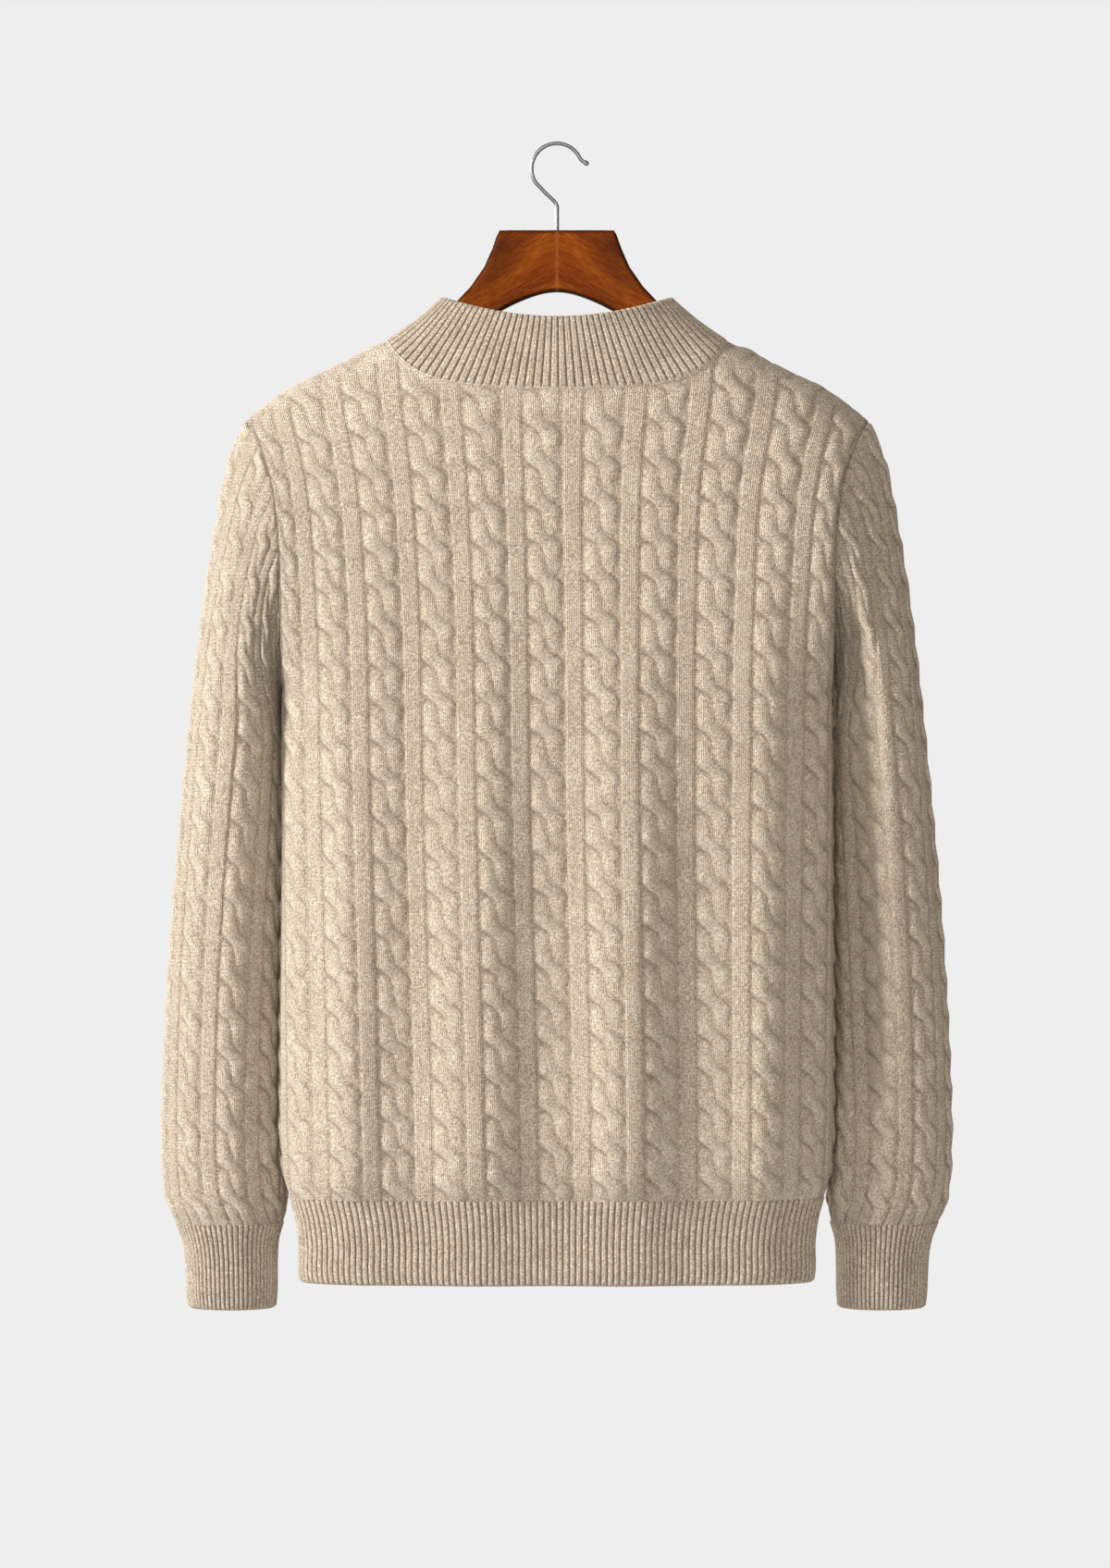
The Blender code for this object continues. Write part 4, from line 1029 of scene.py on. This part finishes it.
def lay_cloth(node, slot, form, thickness, closed=False):
    """A cloth piece stands for its CAD node.

    form is its base points, its outward directions, the height of its relief and its UVs.
    """
    item = knit_sheet(f"{node}_cloth", *form, thickness, WOOLS[slot], closed)
    stand_for(item, node)


LEAN_REACH = 235           # how far from the middle cable the others stop leaning with it
BODY_CABLES = table(
    "height pitch lean",
    (-790, 38.6, 0.5),
    (-716, 38.8, 1.4),
    (-469, 39.8, 6.9),
    (-345, 40.5, 8.2),
    (-247, 42.6, 10.3),
    (-194, 45.4, 11.0),
    (-150, 47.0, 11.3),
)


def body_repeats(base, runs, lean_way):
    """Repeats of the knit across a panel, counted from its middle cable."""
    half = len(runs) // 4
    scale = np.abs(base[:, half, 0] / runs[half])[:, None]
    pitch = smooth_table(BODY_CABLES, "pitch", base[..., 2])
    lean = smooth_table(BODY_CABLES, "lean", base[..., 2]) * lean_way
    fade_out = np.cos(pi / 2 * np.clip(runs / LEAN_REACH, -1, 1))
    return (runs[None, :] * scale - lean * fade_out[None, :]) / pitch


KNIT_TONES = ((0.34, 0.265, 0.19), (0.565, 0.465, 0.35), (0.81, 0.72, 0.59))
WOOLS = {"cable_knit": cable_wool("cable_knit", KNIT_TONES)}
share, run = fine_lines(0, 1, HALF_COLUMNS + 1)
levels = np.concatenate([np.linspace(-1, 0, LOWER_ROWS + 1)[:-1], np.linspace(0, 1, UPPER_ROWS + 1)])
halves = [torso(share[None, :], levels[:, None], False, hand) for hand in (1, -1)]
outs = [panel_out(half, share, levels, False, hand) for half, hand in zip(halves, (1, -1))]
base = join_halves(*halves)
out = join_halves(*outs)
repeats = body_repeats(base, np.concatenate([run[:0:-1], -run]), 1)
turns = body_turns(base[..., 2], base[..., 0])
fade = knit_edges(base, 2 * HALF_COLUMNS + 1, 1.83)
relief = cable_knit(repeats, turns) * plain_top(base, 5, 17)
height = relief * MESH_RELIEF * fade
uv = np.stack([repeats * REPEAT, turns * TURN], axis=-1)
form = (base, out, height, uv)
lay_cloth("back", "cable_knit", form, CLOTH)


# ==================================================================== fronts
# The two front panels, in the same cables as the back, on each side of the zip.

FRONT_COLUMNS = 113
FRONT_FIRST_SHARE = 0.029

for side, hand in HANDS:
    share, run = fine_lines(FRONT_FIRST_SHARE, 1, FRONT_COLUMNS)
    base = torso(share[None, :], levels[:, None], True, hand)
    out = panel_out(base, share, levels, True, hand)
    repeats = 0.5 - hand * body_repeats(base, run, 0)
    turns = body_turns(base[..., 2], base[..., 0])
    relief = cable_knit(repeats, turns) * plain_top(base, 10, 36)
    height = relief * MESH_RELIEF * knit_edges(base, len(run), 2.1)
    uv = np.stack([repeats * REPEAT, turns * TURN], axis=-1)
    form = (base, out, height, uv)
    lay_cloth(f"front_{side}", "cable_knit", form, CLOTH)


# ==================================================================== hem rib
# A fitted rib in three pieces, two raised wales to each sunk one, that draws the body in.

RIB_CLOTH = 3.0
HEM_RIB = 4.7                # width of one rib, with its sunk line
WALE_ROUND = 0.35            # how full the two wales are
WALE_DIP = (0.22, 0.09)      # depth and width of the line between them, as shares of a rib
RIB_LINE = (0.35, 0.07)      # the same for the sunk line
# The shade painted in the sunk lines between the ribs is this dark.
RIB_SHADE = 0.32             # how dark the sunk lines are


def rib_height(across, pitch, height):
    """Height over a rib knit: a sunk line, then two round wales side by side."""
    phase = np.mod(across / pitch, 1)
    wide = np.clip(np.sin(pi * phase), 0, 1) ** WALE_ROUND
    dip = np.exp(-(((phase - 0.5) / WALE_DIP[1]) ** 2))
    sunk = np.exp(-((np.minimum(phase, 1 - phase) / RIB_LINE[1]) ** 2))
    return height * (wide - WALE_DIP[0] * dip - RIB_LINE[0] * sunk)


def round_edge(count, spacing, radius):
    """How far an edge rolls in over its first rows."""
    gap = np.clip(1 - np.arange(count) * spacing / radius, 0, 1)
    return radius * (1 - np.sqrt(1 - gap**2))


def rib_wool(name, tones):
    """The rib knit. Its UV map holds millimetres across and up the wales."""
    material, tree, shader = start_material(name)
    _, across, up = split_uv(tree)
    gap = map_range(maths("PINGPONG", across / HEM_RIB, 0.5), 0.06, 0.22, 1.0, 0.0)
    linking = map_range(maths("ABSOLUTE", up - 1.5), 0.6, 1.6, 1.0, 0.0, "LINEAR")
    gap = gap * (1.0 - linking)
    knit = stitches(across, up, HEM_RIB / 2, 0.45) + linking
    # Painted shade darkens the sunk lines between the ribs.
    heather(tree, shader, knit - gap * 0.5, gap * RIB_SHADE, tones)
    return material


RIB_TONES = ((0.33, 0.26, 0.19), (0.555, 0.46, 0.35), (0.80, 0.71, 0.585))
WOOLS["rib_knit"] = rib_wool("rib_knit", RIB_TONES)
HEM_LINES = 33
HEM_LINE = 2.0               # millimetres from one row to the next
RIB_COLUMNS = 5              # columns for each rib

for name, front, hands, rib_count, width in (
    ("hem_rib_back", False, (1, -1), 47, 0.47),
    ("hem_rib_front_left", True, (1,), 46, 0.235),
    ("hem_rib_front_right", True, (-1,), 46, 0.235),
):
    columns = rib_count * RIB_COLUMNS + 1
    share, _ = fine_lines(FRONT_FIRST_SHARE if front else 0, 1, columns)
    run = np.linspace(0, rib_count * HEM_RIB, columns)
    heights = np.linspace(HEM_BOTTOM, HEM_SEAM, HEM_LINES)
    halves = [section_point(share[None, :], heights[:, None], front, hand, HEM_ROWS) for hand in hands]
    base = halves[0]
    runs = run * hands[0]
    if len(halves) == 2:
        base = join_halves(*halves)
        runs = np.concatenate([run[:0:-1], -run])
    out = grid_out(base, False)
    out = out * np.sign(out[:1, :1, 1] if not front else -out[:1, :1, 1])
    height = rib_height(runs[None, :] + 0 * heights[:, None], HEM_RIB, 1.2)
    fade = edge_fade(HEM_LINES, len(runs), HEM_LINE, 1.1, width=3.0, sides=(0, 0, 1, 1))
    height = height * fade - SEAM_DIP * (1 - fade)
    height = height - round_edge(HEM_LINES, HEM_LINE, 2.0)[:, None]
    uv = np.stack(np.broadcast_arrays(runs[None, :], base[..., 2]), axis=-1)
    form = (base, out, height, uv)
    lay_cloth(name, "rib_knit", form, RIB_CLOTH)


# ==================================================================== collar
# A stand collar of doubled rib, folded over at its top edge, that leans in towards the neck.

COLLAR_CLOTH = 4.5           # both layers together
COLLAR_RIB_COUNT = 104.4
COLLAR_COLUMNS = 1044        # ten for each rib
COLLAR_LINES = 41
COLLAR_HEIGHT = 66.0
COLLAR_FOLD = 2.2            # radius of the fold along its top edge
ZIP_GAP = 5.85               # from the zip's middle line to each end of the collar


def collar_points(turn, part):
    """Points of the collar: part 0 at the neck seam, 1 at the top edge."""
    neck = neck_curve(turn)
    behind = np.cos(turn) > 0
    depth = np.where(behind, COLLAR_TOP_BACK_DEPTH, COLLAR_TOP_FRONT_DEPTH)
    end = np.where(behind, COLLAR_TOP_BACK, COLLAR_TOP_FRONT)
    rise = COLLAR_TOP_SIDE + (end - COLLAR_TOP_SIDE) * np.cos(turn) ** 2
    top = points(COLLAR_TOP_HALF_WIDTH * np.sin(turn), depth * np.cos(turn), rise)
    part = part[..., None]
    hollow = 1.5 * np.sin(pi * part) * np.sin(turn)[..., None] ** 2
    return neck + (top - neck) * part - neck_out(turn) * hollow


fine_turn = np.linspace(-pi, pi, 6001)
line = collar_points(fine_turn, 0.5 + 0 * fine_turn)
run = run_along(line)
around = np.interp(np.linspace(ZIP_GAP, run[-1] - ZIP_GAP, COLLAR_COLUMNS + 1), run, fine_turn)
parts = np.concatenate([np.linspace(0, 0.962, COLLAR_LINES - 6), [0.972, 0.981, 0.988, 0.994, 0.998, 1]])
turn_grid, part_grid = np.meshgrid(around, parts)
base = collar_points(turn_grid, part_grid)
out = grid_out(base, False)
out = out * np.sign(out[COLLAR_LINES // 2, COLLAR_COLUMNS // 2, 1])
near_seam = 1 - smooth_step(parts, 0, 0.15)[:, None, None]
out = unit(out * (1 - near_seam) + neck_out(around)[None] * near_seam)
ribs = np.linspace(0, COLLAR_RIB_COUNT, COLLAR_COLUMNS + 1)
height = rib_height(ribs[None, :] + 0 * part_grid, 1.0, 1.3)
fade = edge_fade(COLLAR_LINES, COLLAR_COLUMNS + 1, 1.7, 0.65, width=3.0, sides=(1, 0, 1, 1))
height = height * fade - SEAM_DIP * (1 - fade)
roll = np.clip(1 - (1 - parts) * COLLAR_HEIGHT / COLLAR_FOLD, 0, 1)
roll = COLLAR_FOLD * (1 - np.sqrt(1 - roll**2))[:, None]
uv = np.stack([ribs[None, :] * HEM_RIB + 0 * part_grid, part_grid * COLLAR_HEIGHT], axis=-1)
form = (base, out, height - roll, uv)
lay_cloth("collar", "rib_knit", form, COLLAR_CLOTH - roll)


def linking_wool():
    """The row of loops along a seam. Its UV map holds millimetres along the seam, then round."""
    material, tree, shader = start_material("linking_row")
    _, along, around_row = split_uv(tree)
    loops = stitches(around_row, along, 2.4, 0.6)
    heather(tree, shader, loops, 0.0, ((0.36, 0.29, 0.215), (0.59, 0.49, 0.38), (0.82, 0.73, 0.61)))
    return material


LINKING_LOOP = 2.7           # length of one loop
LINKING_SWELL = 0.13         # how much thicker a loop is at its middle
LINKING_SECTION = (0.8, 1.05)   # out from the cloth and along it, as shares of the radius
linking_yarn = linking_wool()


def linking_row(name, seam_line, seam_out, radius, sunk):
    """A chain of loops along a seam, sunk a little between the two pieces that it joins."""
    seam_run = run_along(seam_line)
    seam_up = unit(np.cross(np.gradient(seam_line, axis=0), seam_out))
    turns = np.linspace(0, 2 * pi, 11)[None, :, None]
    thick = radius * (1 + LINKING_SWELL * np.sin(2 * pi * seam_run / LINKING_LOOP))[:, None, None]
    high, wide = LINKING_SECTION
    rings = (seam_out[:, None] * high * np.cos(turns) + seam_up[:, None] * wide * np.sin(turns)) * thick
    rings = (seam_line - seam_out * sunk)[:, None] + rings
    round_run = radius * turns[..., 0] + 0 * seam_run[:, None]
    uvs = np.stack([seam_run[:, None] + 0 * round_run, round_run], axis=-1)
    row = swept(name, rings, uvs, linking_yarn)
    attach(row, "cardigan")
    return row


linking_row("collar_linking_row", neck_curve(around), neck_out(around), 0.85, 0.25)


# ==================================================================== sleeves
# Set-in sleeves in the same cables, a little narrower, seamed under the arm and gathered
# into the cuff.

SLEEVE_COLUMNS = 200
SLEEVE_LINES = 257
SLEEVE_TURN = 29             # length of one crossing of a sleeve's cable
SLEEVE_RELIEF = 1.2          # its cables are this much higher than on the body
INNER_FLAT = 0.7             # how much flatter the cables are where the sleeve faces the body
FLAT_ROUND = (0.66, 0.82)    # share of the half round where that starts and is whole
FLAT_STEPS = (4, 8)          # steps down the sleeve where it eases
OUTLINE_FLAT = 0.35          # how much flatter they are on the outer line
OUTLINE_RUN = (2, 8)         # and how far round from that line they are whole again
SEAM_WIDTH = 3               # how near the underarm seam the knit sinks
SLEEVE_SHIFT = 0.25          # repeats from the outer line to the middle of the first cable

# The side beside the body sinks back, deep on the right and hardly on the left. The bands
# say where that hollow starts, is whole, eases and ends.
SLEEVE_HOLLOW = {"left": 1.0, "right": 27.0}
HOLLOW_ROUND = (0.46, 0.64, 0.84, 1.0)    # share of the half round, from the outer line
HOLLOW_DOWN = (300, 385, 640, 740)        # below the crown of the hook

SLEEVE_PITCHES = table(
    "step width",
    (0, 40.0),
    (3, 38.0),
    (6, 35.0),
    (9, 33.0),
    (12, 32.0),
)


def between(value, start, whole, ease, end):
    """1 from whole to ease, eased to 0 at start and end."""
    return smooth_step(value, start, whole) * (1 - smooth_step(value, ease, end))


def ring_runs(grid):
    """Distance round each ring of a closed grid from its outer line, back side positive."""
    ring = np.concatenate([grid, grid[:, :1]], axis=1)
    steps = np.linalg.norm(np.diff(ring, axis=1), axis=2)
    run = np.concatenate([np.zeros((len(grid), 1)), np.cumsum(steps, axis=1)], axis=1)
    whole = run[:, -1:]
    run = run[:, :-1]
    return np.where(run > whole / 2, run - whole, run), whole


CUFF_RIBS = 60
CUFF_LINES = 29
CUFF_LINE = 2.3              # millimetres from one row to the next

steps = np.linspace(0, SLEEVE_RINGS[-1].step, SLEEVE_LINES)
angles = np.arange(SLEEVE_COLUMNS) * 2 * pi / SLEEVE_COLUMNS
cuff_steps = np.linspace(0, CUFF_RINGS[-1].step, CUFF_LINES)
cuff_angles = np.arange(CUFF_RIBS * RIB_COLUMNS) * 2 * pi / (CUFF_RIBS * RIB_COLUMNS)
for side, hand in HANDS:
    base = sleeve(SLEEVE_RINGS, angles[None, :], steps[:, None], hand)
    run, whole = ring_runs(base)
    inward = np.abs(run) / (whole / 2)
    hollow = between(inward, *HOLLOW_ROUND) * (run > 0)
    base[..., 1] -= SLEEVE_HOLLOW[side] * hollow * between(-base[..., 2], *HOLLOW_DOWN)
    out = -grid_out(base, True) * hand
    edge = armhole_out(angles, hand)
    near_armhole = 1 - smooth_step(steps, 0, 0.4)[:, None, None]
    out = unit(out * (1 - near_armhole) + edge[None] * near_armhole)
    width = smooth_table(SLEEVE_PITCHES, "width", steps)[:, None]
    repeats = -hand * (run / width - SLEEVE_SHIFT)
    turns = body_turns(base[..., 2], 0 * base[..., 0]) * TURN / SLEEVE_TURN
    fade = edge_fade(SLEEVE_LINES, SLEEVE_COLUMNS, 2.4, 2.0, sides=(1, 0, 0, 0))
    seam = 1 - np.exp(-(((whole / 2 - np.abs(run)) / SEAM_WIDTH) ** 2))
    cuff_end = half_raised(base[..., 2] - base[-1:, :, 2])
    flat = 1 - INNER_FLAT * smooth_step(inward, *FLAT_ROUND) * (1 - smooth_step(steps, *FLAT_STEPS))[:, None]
    flat = flat * (1 - OUTLINE_FLAT * (1 - smooth_step(np.abs(run), *OUTLINE_RUN)))
    raised = cable_knit(repeats, turns) * MESH_RELIEF * SLEEVE_RELIEF
    height = raised * fade * seam * cuff_end * flat - SEAM_DIP * (1 - seam)
    uv = np.stack([repeats * REPEAT, turns * TURN], axis=-1)
    form = (base, out, height, uv)
    lay_cloth(f"sleeve_{side}", "cable_knit", form, CLOTH, closed=True)
    around = np.linspace(0, 2 * pi, 401)
    seam_line = sleeve(SLEEVE_RINGS, around, 0 * around, hand)
    seam_out = armhole_out(around, hand)
    linking_row(f"armhole_{side}_linking_row", seam_line, seam_out, 0.75, 0.85)

    base = sleeve(CUFF_RINGS, cuff_angles[None, :], cuff_steps[:, None], hand)
    out = -grid_out(base, True) * hand
    ribs = cuff_angles / (2 * pi) * CUFF_RIBS
    height = rib_height(ribs[None, :] + 0 * cuff_steps[:, None], 1.0, 1.5)
    height = height - round_edge(CUFF_LINES, CUFF_LINE, 2.0)[::-1, None]
    uv = np.stack([ribs[None, :] * HEM_RIB + 0 * base[..., 2], base[..., 2]], axis=-1)
    form = (base, out, height, uv)
    lay_cloth(f"cuff_{side}", "rib_knit", form, RIB_CLOTH, closed=True)


# ==================================================================== zip
# A nickel zip on woven tapes, closed to the top of the collar. Its teeth mesh by turns from
# each side, and its flat pull tab hangs from the slider.

TOOTH_PITCH = 2.8            # from one tooth to the next on the same side
TOOTH_LENGTH = 1.9
TOOTH_HALF_DEPTH = 1.2
TOOTH_BEVEL = 0.35
TOOTH_REACH = (-0.9, 2.5)    # from past the middle to the tape
TOOTH_LAYERS = [(-1, 1), (-0.7, 0), (0.7, 0), (1, 1)]     # share of its half depth, share of the bevel
ZIP_LINE = table(
    "height depth",
    (-833, -39.75),
    (-812, -40.15),
    (-797, -40.65),
    (-780, -42.16),
    (-733, -48.96),
    (-686, -49.22),
    (-592, -50.68),
    (-498, -51.96),
    (-404, -52.93),
    (-341, -53.18),
    (-299, -52.86),
    (-275, -52.32),
    (-251, -51.37),
    (-229, -48.54),
    (-180, -39.73),
)


def dress(node, material):
    """Give a CAD node that stays shown its real finish."""
    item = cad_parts[node]
    item.data.materials.clear()
    item.data.materials.append(material)
    return item


def satin_metal():
    """Nickel plate with a rubbed, uneven shine."""
    material, tree, shader = start_material("zip_metal")
    rubbed = noise(tree, object_place(tree), 900.0, 3.0)
    rough = ramp(tree, rubbed, [(0.35, (0.40, 0.40, 0.40)), (0.65, (0.58, 0.58, 0.58))])
    set_inputs(shader, {"Roughness": rough, "Base Color": (0.27, 0.26, 0.245, 1), "Metallic": 1.0})
    return material


def woven_tape():
    """Cotton tape with a fine level weave."""
    material, tree, shader = start_material("zip_tape")
    inputs = {"Vector": object_place(tree), "Scale": 900.0, "Distortion": 0.4}
    weave = add_node(tree, "ShaderNodeTexWave", inputs, bands_direction="Z").outputs["Fac"]
    finish = {"Base Color": (0.36, 0.30, 0.23, 1), "Roughness": 0.85}
    set_inputs(shader, {**finish, "Normal": bump(tree, weave, 0.4, 0.0003)})
    return material


def zip_teeth(material):
    """Bevelled teeth along the zip, turn about from the left and the right."""
    line = np.array(ZIP_LINE)
    heights = np.arange(line[0, 0] + 1.2, line[-1, 0] - 0.6, TOOTH_PITCH / 2)
    depths = np.interp(heights, line[:, 0], line[:, 1])
    lean = np.gradient(depths, heights)
    along = unit(points(0, lean, 1))
    out = unit(points(0, -1, lean))
    side = np.where(np.arange(len(heights)) % 2 == 0, 1, -1)
    verts = []
    for depth, inset in TOOTH_LAYERS:
        for end, way in ((0, -1), (1, -1), (1, 1), (0, 1)):
            x = side * (TOOTH_REACH[end] + (TOOTH_BEVEL if end == 0 else -TOOTH_BEVEL) * inset)
            up = way * (TOOTH_LENGTH / 2 - TOOTH_BEVEL * inset)
            vert = points(x, depths, heights) + along * up + out * depth * TOOTH_HALF_DEPTH
            verts.append(vert)
    verts = np.stack(verts, axis=1)
    quads = [(0, 1, 2, 3), (15, 14, 13, 12)]
    for ring in range(3):
        for corner in range(4):
            near, far = ring * 4 + corner, ring * 4 + (corner + 1) % 4
            quads.append((near, near + 4, far + 4, far))
    quads = np.array(quads)
    quads = np.where(side[:, None, None] > 0, quads[None], quads[None, :, ::-1])
    quads = quads + 16 * np.arange(len(heights))[:, None, None]
    flat = np.zeros((verts.shape[0] * 16, 2))
    return make_mesh(
        "zip_chain_teeth", verts.reshape(-1, 3), quads.reshape(-1, 4), np.zeros((0, 3), int), flat, material
    )


SLIDER_PLACE = points(0, -39.982, -180.940)   # the middle of the slider, on the chain
SLIDER_AXES = np.array([(1, 0, 0), (0, -0.98444, 0.17572), (0, 0.17572, 0.98444)])
PLATE_INSIDE = 1.55          # the two plates, out from the middle plane of the slider
PLATE_FACE = 2.75
FLANGE_EDGE = 0.8            # the turned edges end this near the middle plane
FLANGE_ROOT = 1.85
FLANGE_CORNERS = [(3.5, -5.2), (4.25, -1.2), (3.75, -1.2), (3.1, -5.2)]
POST = (-2.5, 1.8, 2.5, 5.6)  # the block that joins the two plates
POST_HALF_DEPTH = 2.35
PLATE_CORNERS = [(-3.5, -6), (3.5, -6), (4.6, 0.4), (3.7, 6), (-3.7, 6), (-4.6, 0.4)]
BAIL_OUTSIDE = (-2.7, 2.2, 2.7, 5.55)
BAIL_INSIDE = (-1.7, 2.75, 1.7, 4.55)
BAIL_HALF_WIDTH = 1.0
TAB_PIVOT = 3.65             # out from the slider's middle
TAB_HALF_THICKNESS = 0.55
TAB_CORNERS = [(-2.5, -27.0), (2.5, -27.0), (2.9, 0.55), (-2.9, 0.55)]
TAB_SLOT = (-1.4, -4.35, 1.4, -0.55)
METAL_BEVEL = 0.22


def box_corners(low_a, low_b, high_a, high_b):
    return [(low_a, low_b), (high_a, low_b), (high_a, high_b), (low_a, high_b)]


def rounded_loop(corners, radius, steps=8):
    """The outline through some corners, each rounded off."""
    corners = np.array(corners, dtype=float)
    part = np.linspace(0, 1, steps)[:, None]
    loop = []
    for before, here, after in zip(np.roll(corners, 1, axis=0), corners, np.roll(corners, -1, axis=0)):
        start = here + unit(before - here) * radius
        end = here + unit(after - here) * radius
        loop.append(start * (1 - part) ** 2 + here * 2 * part * (1 - part) + end * part**2)
    return np.concatenate(loop)


def stamped_plate(outline, hole, low, high, thick_axis):
    """A bevelled plate between two heights on one axis of the slider, with or without a hole."""
    count = len(outline)
    turned = thick_axis == 1
    verts, quads = [], []
    for loop, inward in ((outline, 1), (hole, -1)):
        if loop is None:
            continue
        along = np.roll(loop, -1, axis=0) - np.roll(loop, 1, axis=0)
        side = unit(np.stack([-along[:, 1], along[:, 0]], axis=1)) * inward
        quads.append(grid_quads(4, count, True, len(verts) * count, turned == (inward > 0)))
        for height, inset in ((low, 1), (low + METAL_BEVEL, 0), (high - METAL_BEVEL, 0), (high, 1)):
            verts.append(np.insert(loop + side * METAL_BEVEL * inset, thick_axis, height, axis=1))
    here = np.arange(count)
    beside = (here + 1) % count
    top, after = 3 * count, 4 * count
    triangles = np.zeros((0, 3), int)
    if hole is None:
        verts += [verts[0].mean(axis=0)[None], verts[3].mean(axis=0)[None]]
        low_cap = [beside, here, after + 0 * here]
        high_cap = [top + here, top + beside, after + 1 + 0 * here]
        triangles = np.stack([low_cap, high_cap]).transpose(2, 0, 1).reshape(-1, 3)
        triangles = triangles[:, ::-1] if turned else triangles
    else:
        caps = []
        for layer, flip in ((0, not turned), (top, turned)):
            quad = np.stack([here, beside, after + beside, after + here], axis=-1) + layer
            caps.append(quad[:, ::-1] if flip else quad)
        quads.append(np.stack(caps, axis=1).reshape(-1, 4))
    return np.concatenate(verts), np.concatenate(quads), triangles


def metal_piece(name, plates, material):
    """One mesh of stamped plates, set in the slider's place."""
    starts = np.cumsum([0] + [len(plate[0]) for plate in plates])
    verts = np.concatenate([SLIDER_PLACE + plate[0] @ SLIDER_AXES for plate in plates])
    faces = []
    for kind in (1, 2):
        faces.append(np.concatenate([plate[kind] + start for plate, start in zip(plates, starts)]))
    return make_mesh(name, verts, *faces, np.zeros((len(verts), 2)), material)


zip_metal = satin_metal()
zip_tape = woven_tape()
teeth = zip_teeth(zip_metal)
stand_for(teeth, "zip_chain")

plate_outline = rounded_loop(PLATE_CORNERS, 1.3)
flanges = []
for hand in (-1, 1):
    edge = [(hand * out, up) for out, up in FLANGE_CORNERS]
    loop = rounded_loop(edge[::hand], 0.15)
    flanges.append(stamped_plate(loop, None, FLANGE_EDGE, FLANGE_ROOT, 1))
    flanges.append(stamped_plate(loop, None, -FLANGE_ROOT, -FLANGE_EDGE, 1))
bail_loops = [rounded_loop(box_corners(*BAIL_OUTSIDE), 1.6), rounded_loop(box_corners(*BAIL_INSIDE), 0.7)]
bail_loops = [loop[::-1, ::-1] for loop in bail_loops]
slider = metal_piece(
    "zip_slider_metal",
    [
        stamped_plate(plate_outline, None, PLATE_INSIDE, PLATE_FACE, 1),
        stamped_plate(plate_outline, None, -PLATE_FACE, -PLATE_INSIDE, 1),
        stamped_plate(rounded_loop(box_corners(*POST), 0.5), None, -POST_HALF_DEPTH, POST_HALF_DEPTH, 1),
        stamped_plate(*bail_loops, -BAIL_HALF_WIDTH, BAIL_HALF_WIDTH, 0),
        *flanges,
    ],
    zip_metal,
)
stand_for(slider, "zip_slider")

pull_tab = metal_piece(
    "zip_pull_tab_metal",
    [
        stamped_plate(
            rounded_loop(TAB_CORNERS, 1.1),
            rounded_loop(box_corners(*TAB_SLOT), 0.5),
            TAB_PIVOT - TAB_HALF_THICKNESS,
            TAB_PIVOT + TAB_HALF_THICKNESS,
            1,
        )
    ],
    zip_metal,
)
stand_for(pull_tab, "zip_pull_tab", "pull_tab")

dress("zip_box", zip_metal)
for node in ("zip_tape_left", "zip_tape_right"):
    dress(node, zip_tape)


# ==================================================================== room
# A pale seamless floor and backdrop. A strong soft lamp stands to the wearer's left of the
# back, with a weaker one before it, and a like pair lights the zip side.

PALE = 0.855
FLOOR = 1.5                  # metres from the middle to each side
FLOOR_HEIGHT = -1.3
ROOM_GLOW = (0.25, 0.228, 0.205, 1)


def studio():
    """Plain pale paper, evenly lit."""
    material, _, shader = start_material("pale_paper")
    glow = {"Emission Color": (PALE, PALE, PALE, 1), "Emission Strength": 1.0}
    set_inputs(shader, {"Base Color": (0, 0, 0, 1), "Specular IOR Level": 0.0, **glow})
    return material


floor_mesh = bpy.data.meshes.new("floor")
floor_corners = [(FLOOR * x, FLOOR * y, FLOOR_HEIGHT) for x, y in ((-1, -1), (1, -1), (1, 1), (-1, 1))]
floor_mesh.from_pydata(floor_corners, [], [(0, 1, 2, 3)])
floor = bpy.data.objects.new("floor", floor_mesh)
bpy.context.scene.collection.objects.link(floor)
floor.data.materials.append(studio())

world = bpy.data.worlds.new("soft_room")
bpy.context.scene.world = world
world.use_nodes = True
room = world.node_tree
seen = add_node(room, "ShaderNodeLightPath").outputs["Is Camera Ray"]
glow = mixed(room, seen, ROOM_GLOW, (PALE, PALE, PALE, 1))
set_inputs(room.nodes["Background"], {"Color": glow, "Strength": 1.0})
bpy.context.scene.view_settings.view_transform = "Standard"


def soft_light(name, place, size, power, colour=(1, 1, 1)):
    """A square area light that looks at the middle of the cardigan. Metres and watts."""
    lamp = bpy.data.lights.new(name, "AREA")
    lamp.size = size
    lamp.energy = power
    lamp.color = colour
    item = bpy.data.objects.new(name, lamp)
    bpy.context.scene.collection.objects.link(item)
    item.location = place
    way = Vector((0, 0, -0.5)) - Vector(place)
    item.rotation_euler = way.to_track_quat("-Z", "Y").to_euler()


soft_light("key", (3.2, 1.25, 0.6), 1.0, 180, (1.0, 1.0, 0.99))
soft_light("front", (0.6, 3.6, 0.8), 1.6, 56)
soft_light("fill", (-2.4, 2.9, 0.4), 1.2, 10)
soft_light("zip_side_key", (1.6, -3.3, 0.7), 1.0, 112, (1.0, 1.0, 0.99))
soft_light("zip_side_front", (-0.4, -3.5, 0.9), 1.6, 58)

camera_data = bpy.data.cameras.new("camera")
camera = bpy.data.objects.new("camera", camera_data)
bpy.context.scene.collection.objects.link(camera)
camera.location = (0.0014, 4.0, -0.474)
camera.rotation_euler = (radians(90), 0, radians(180))
camera_data.sensor_width = 36
camera_data.lens = 123.7
bpy.context.scene.camera = camera
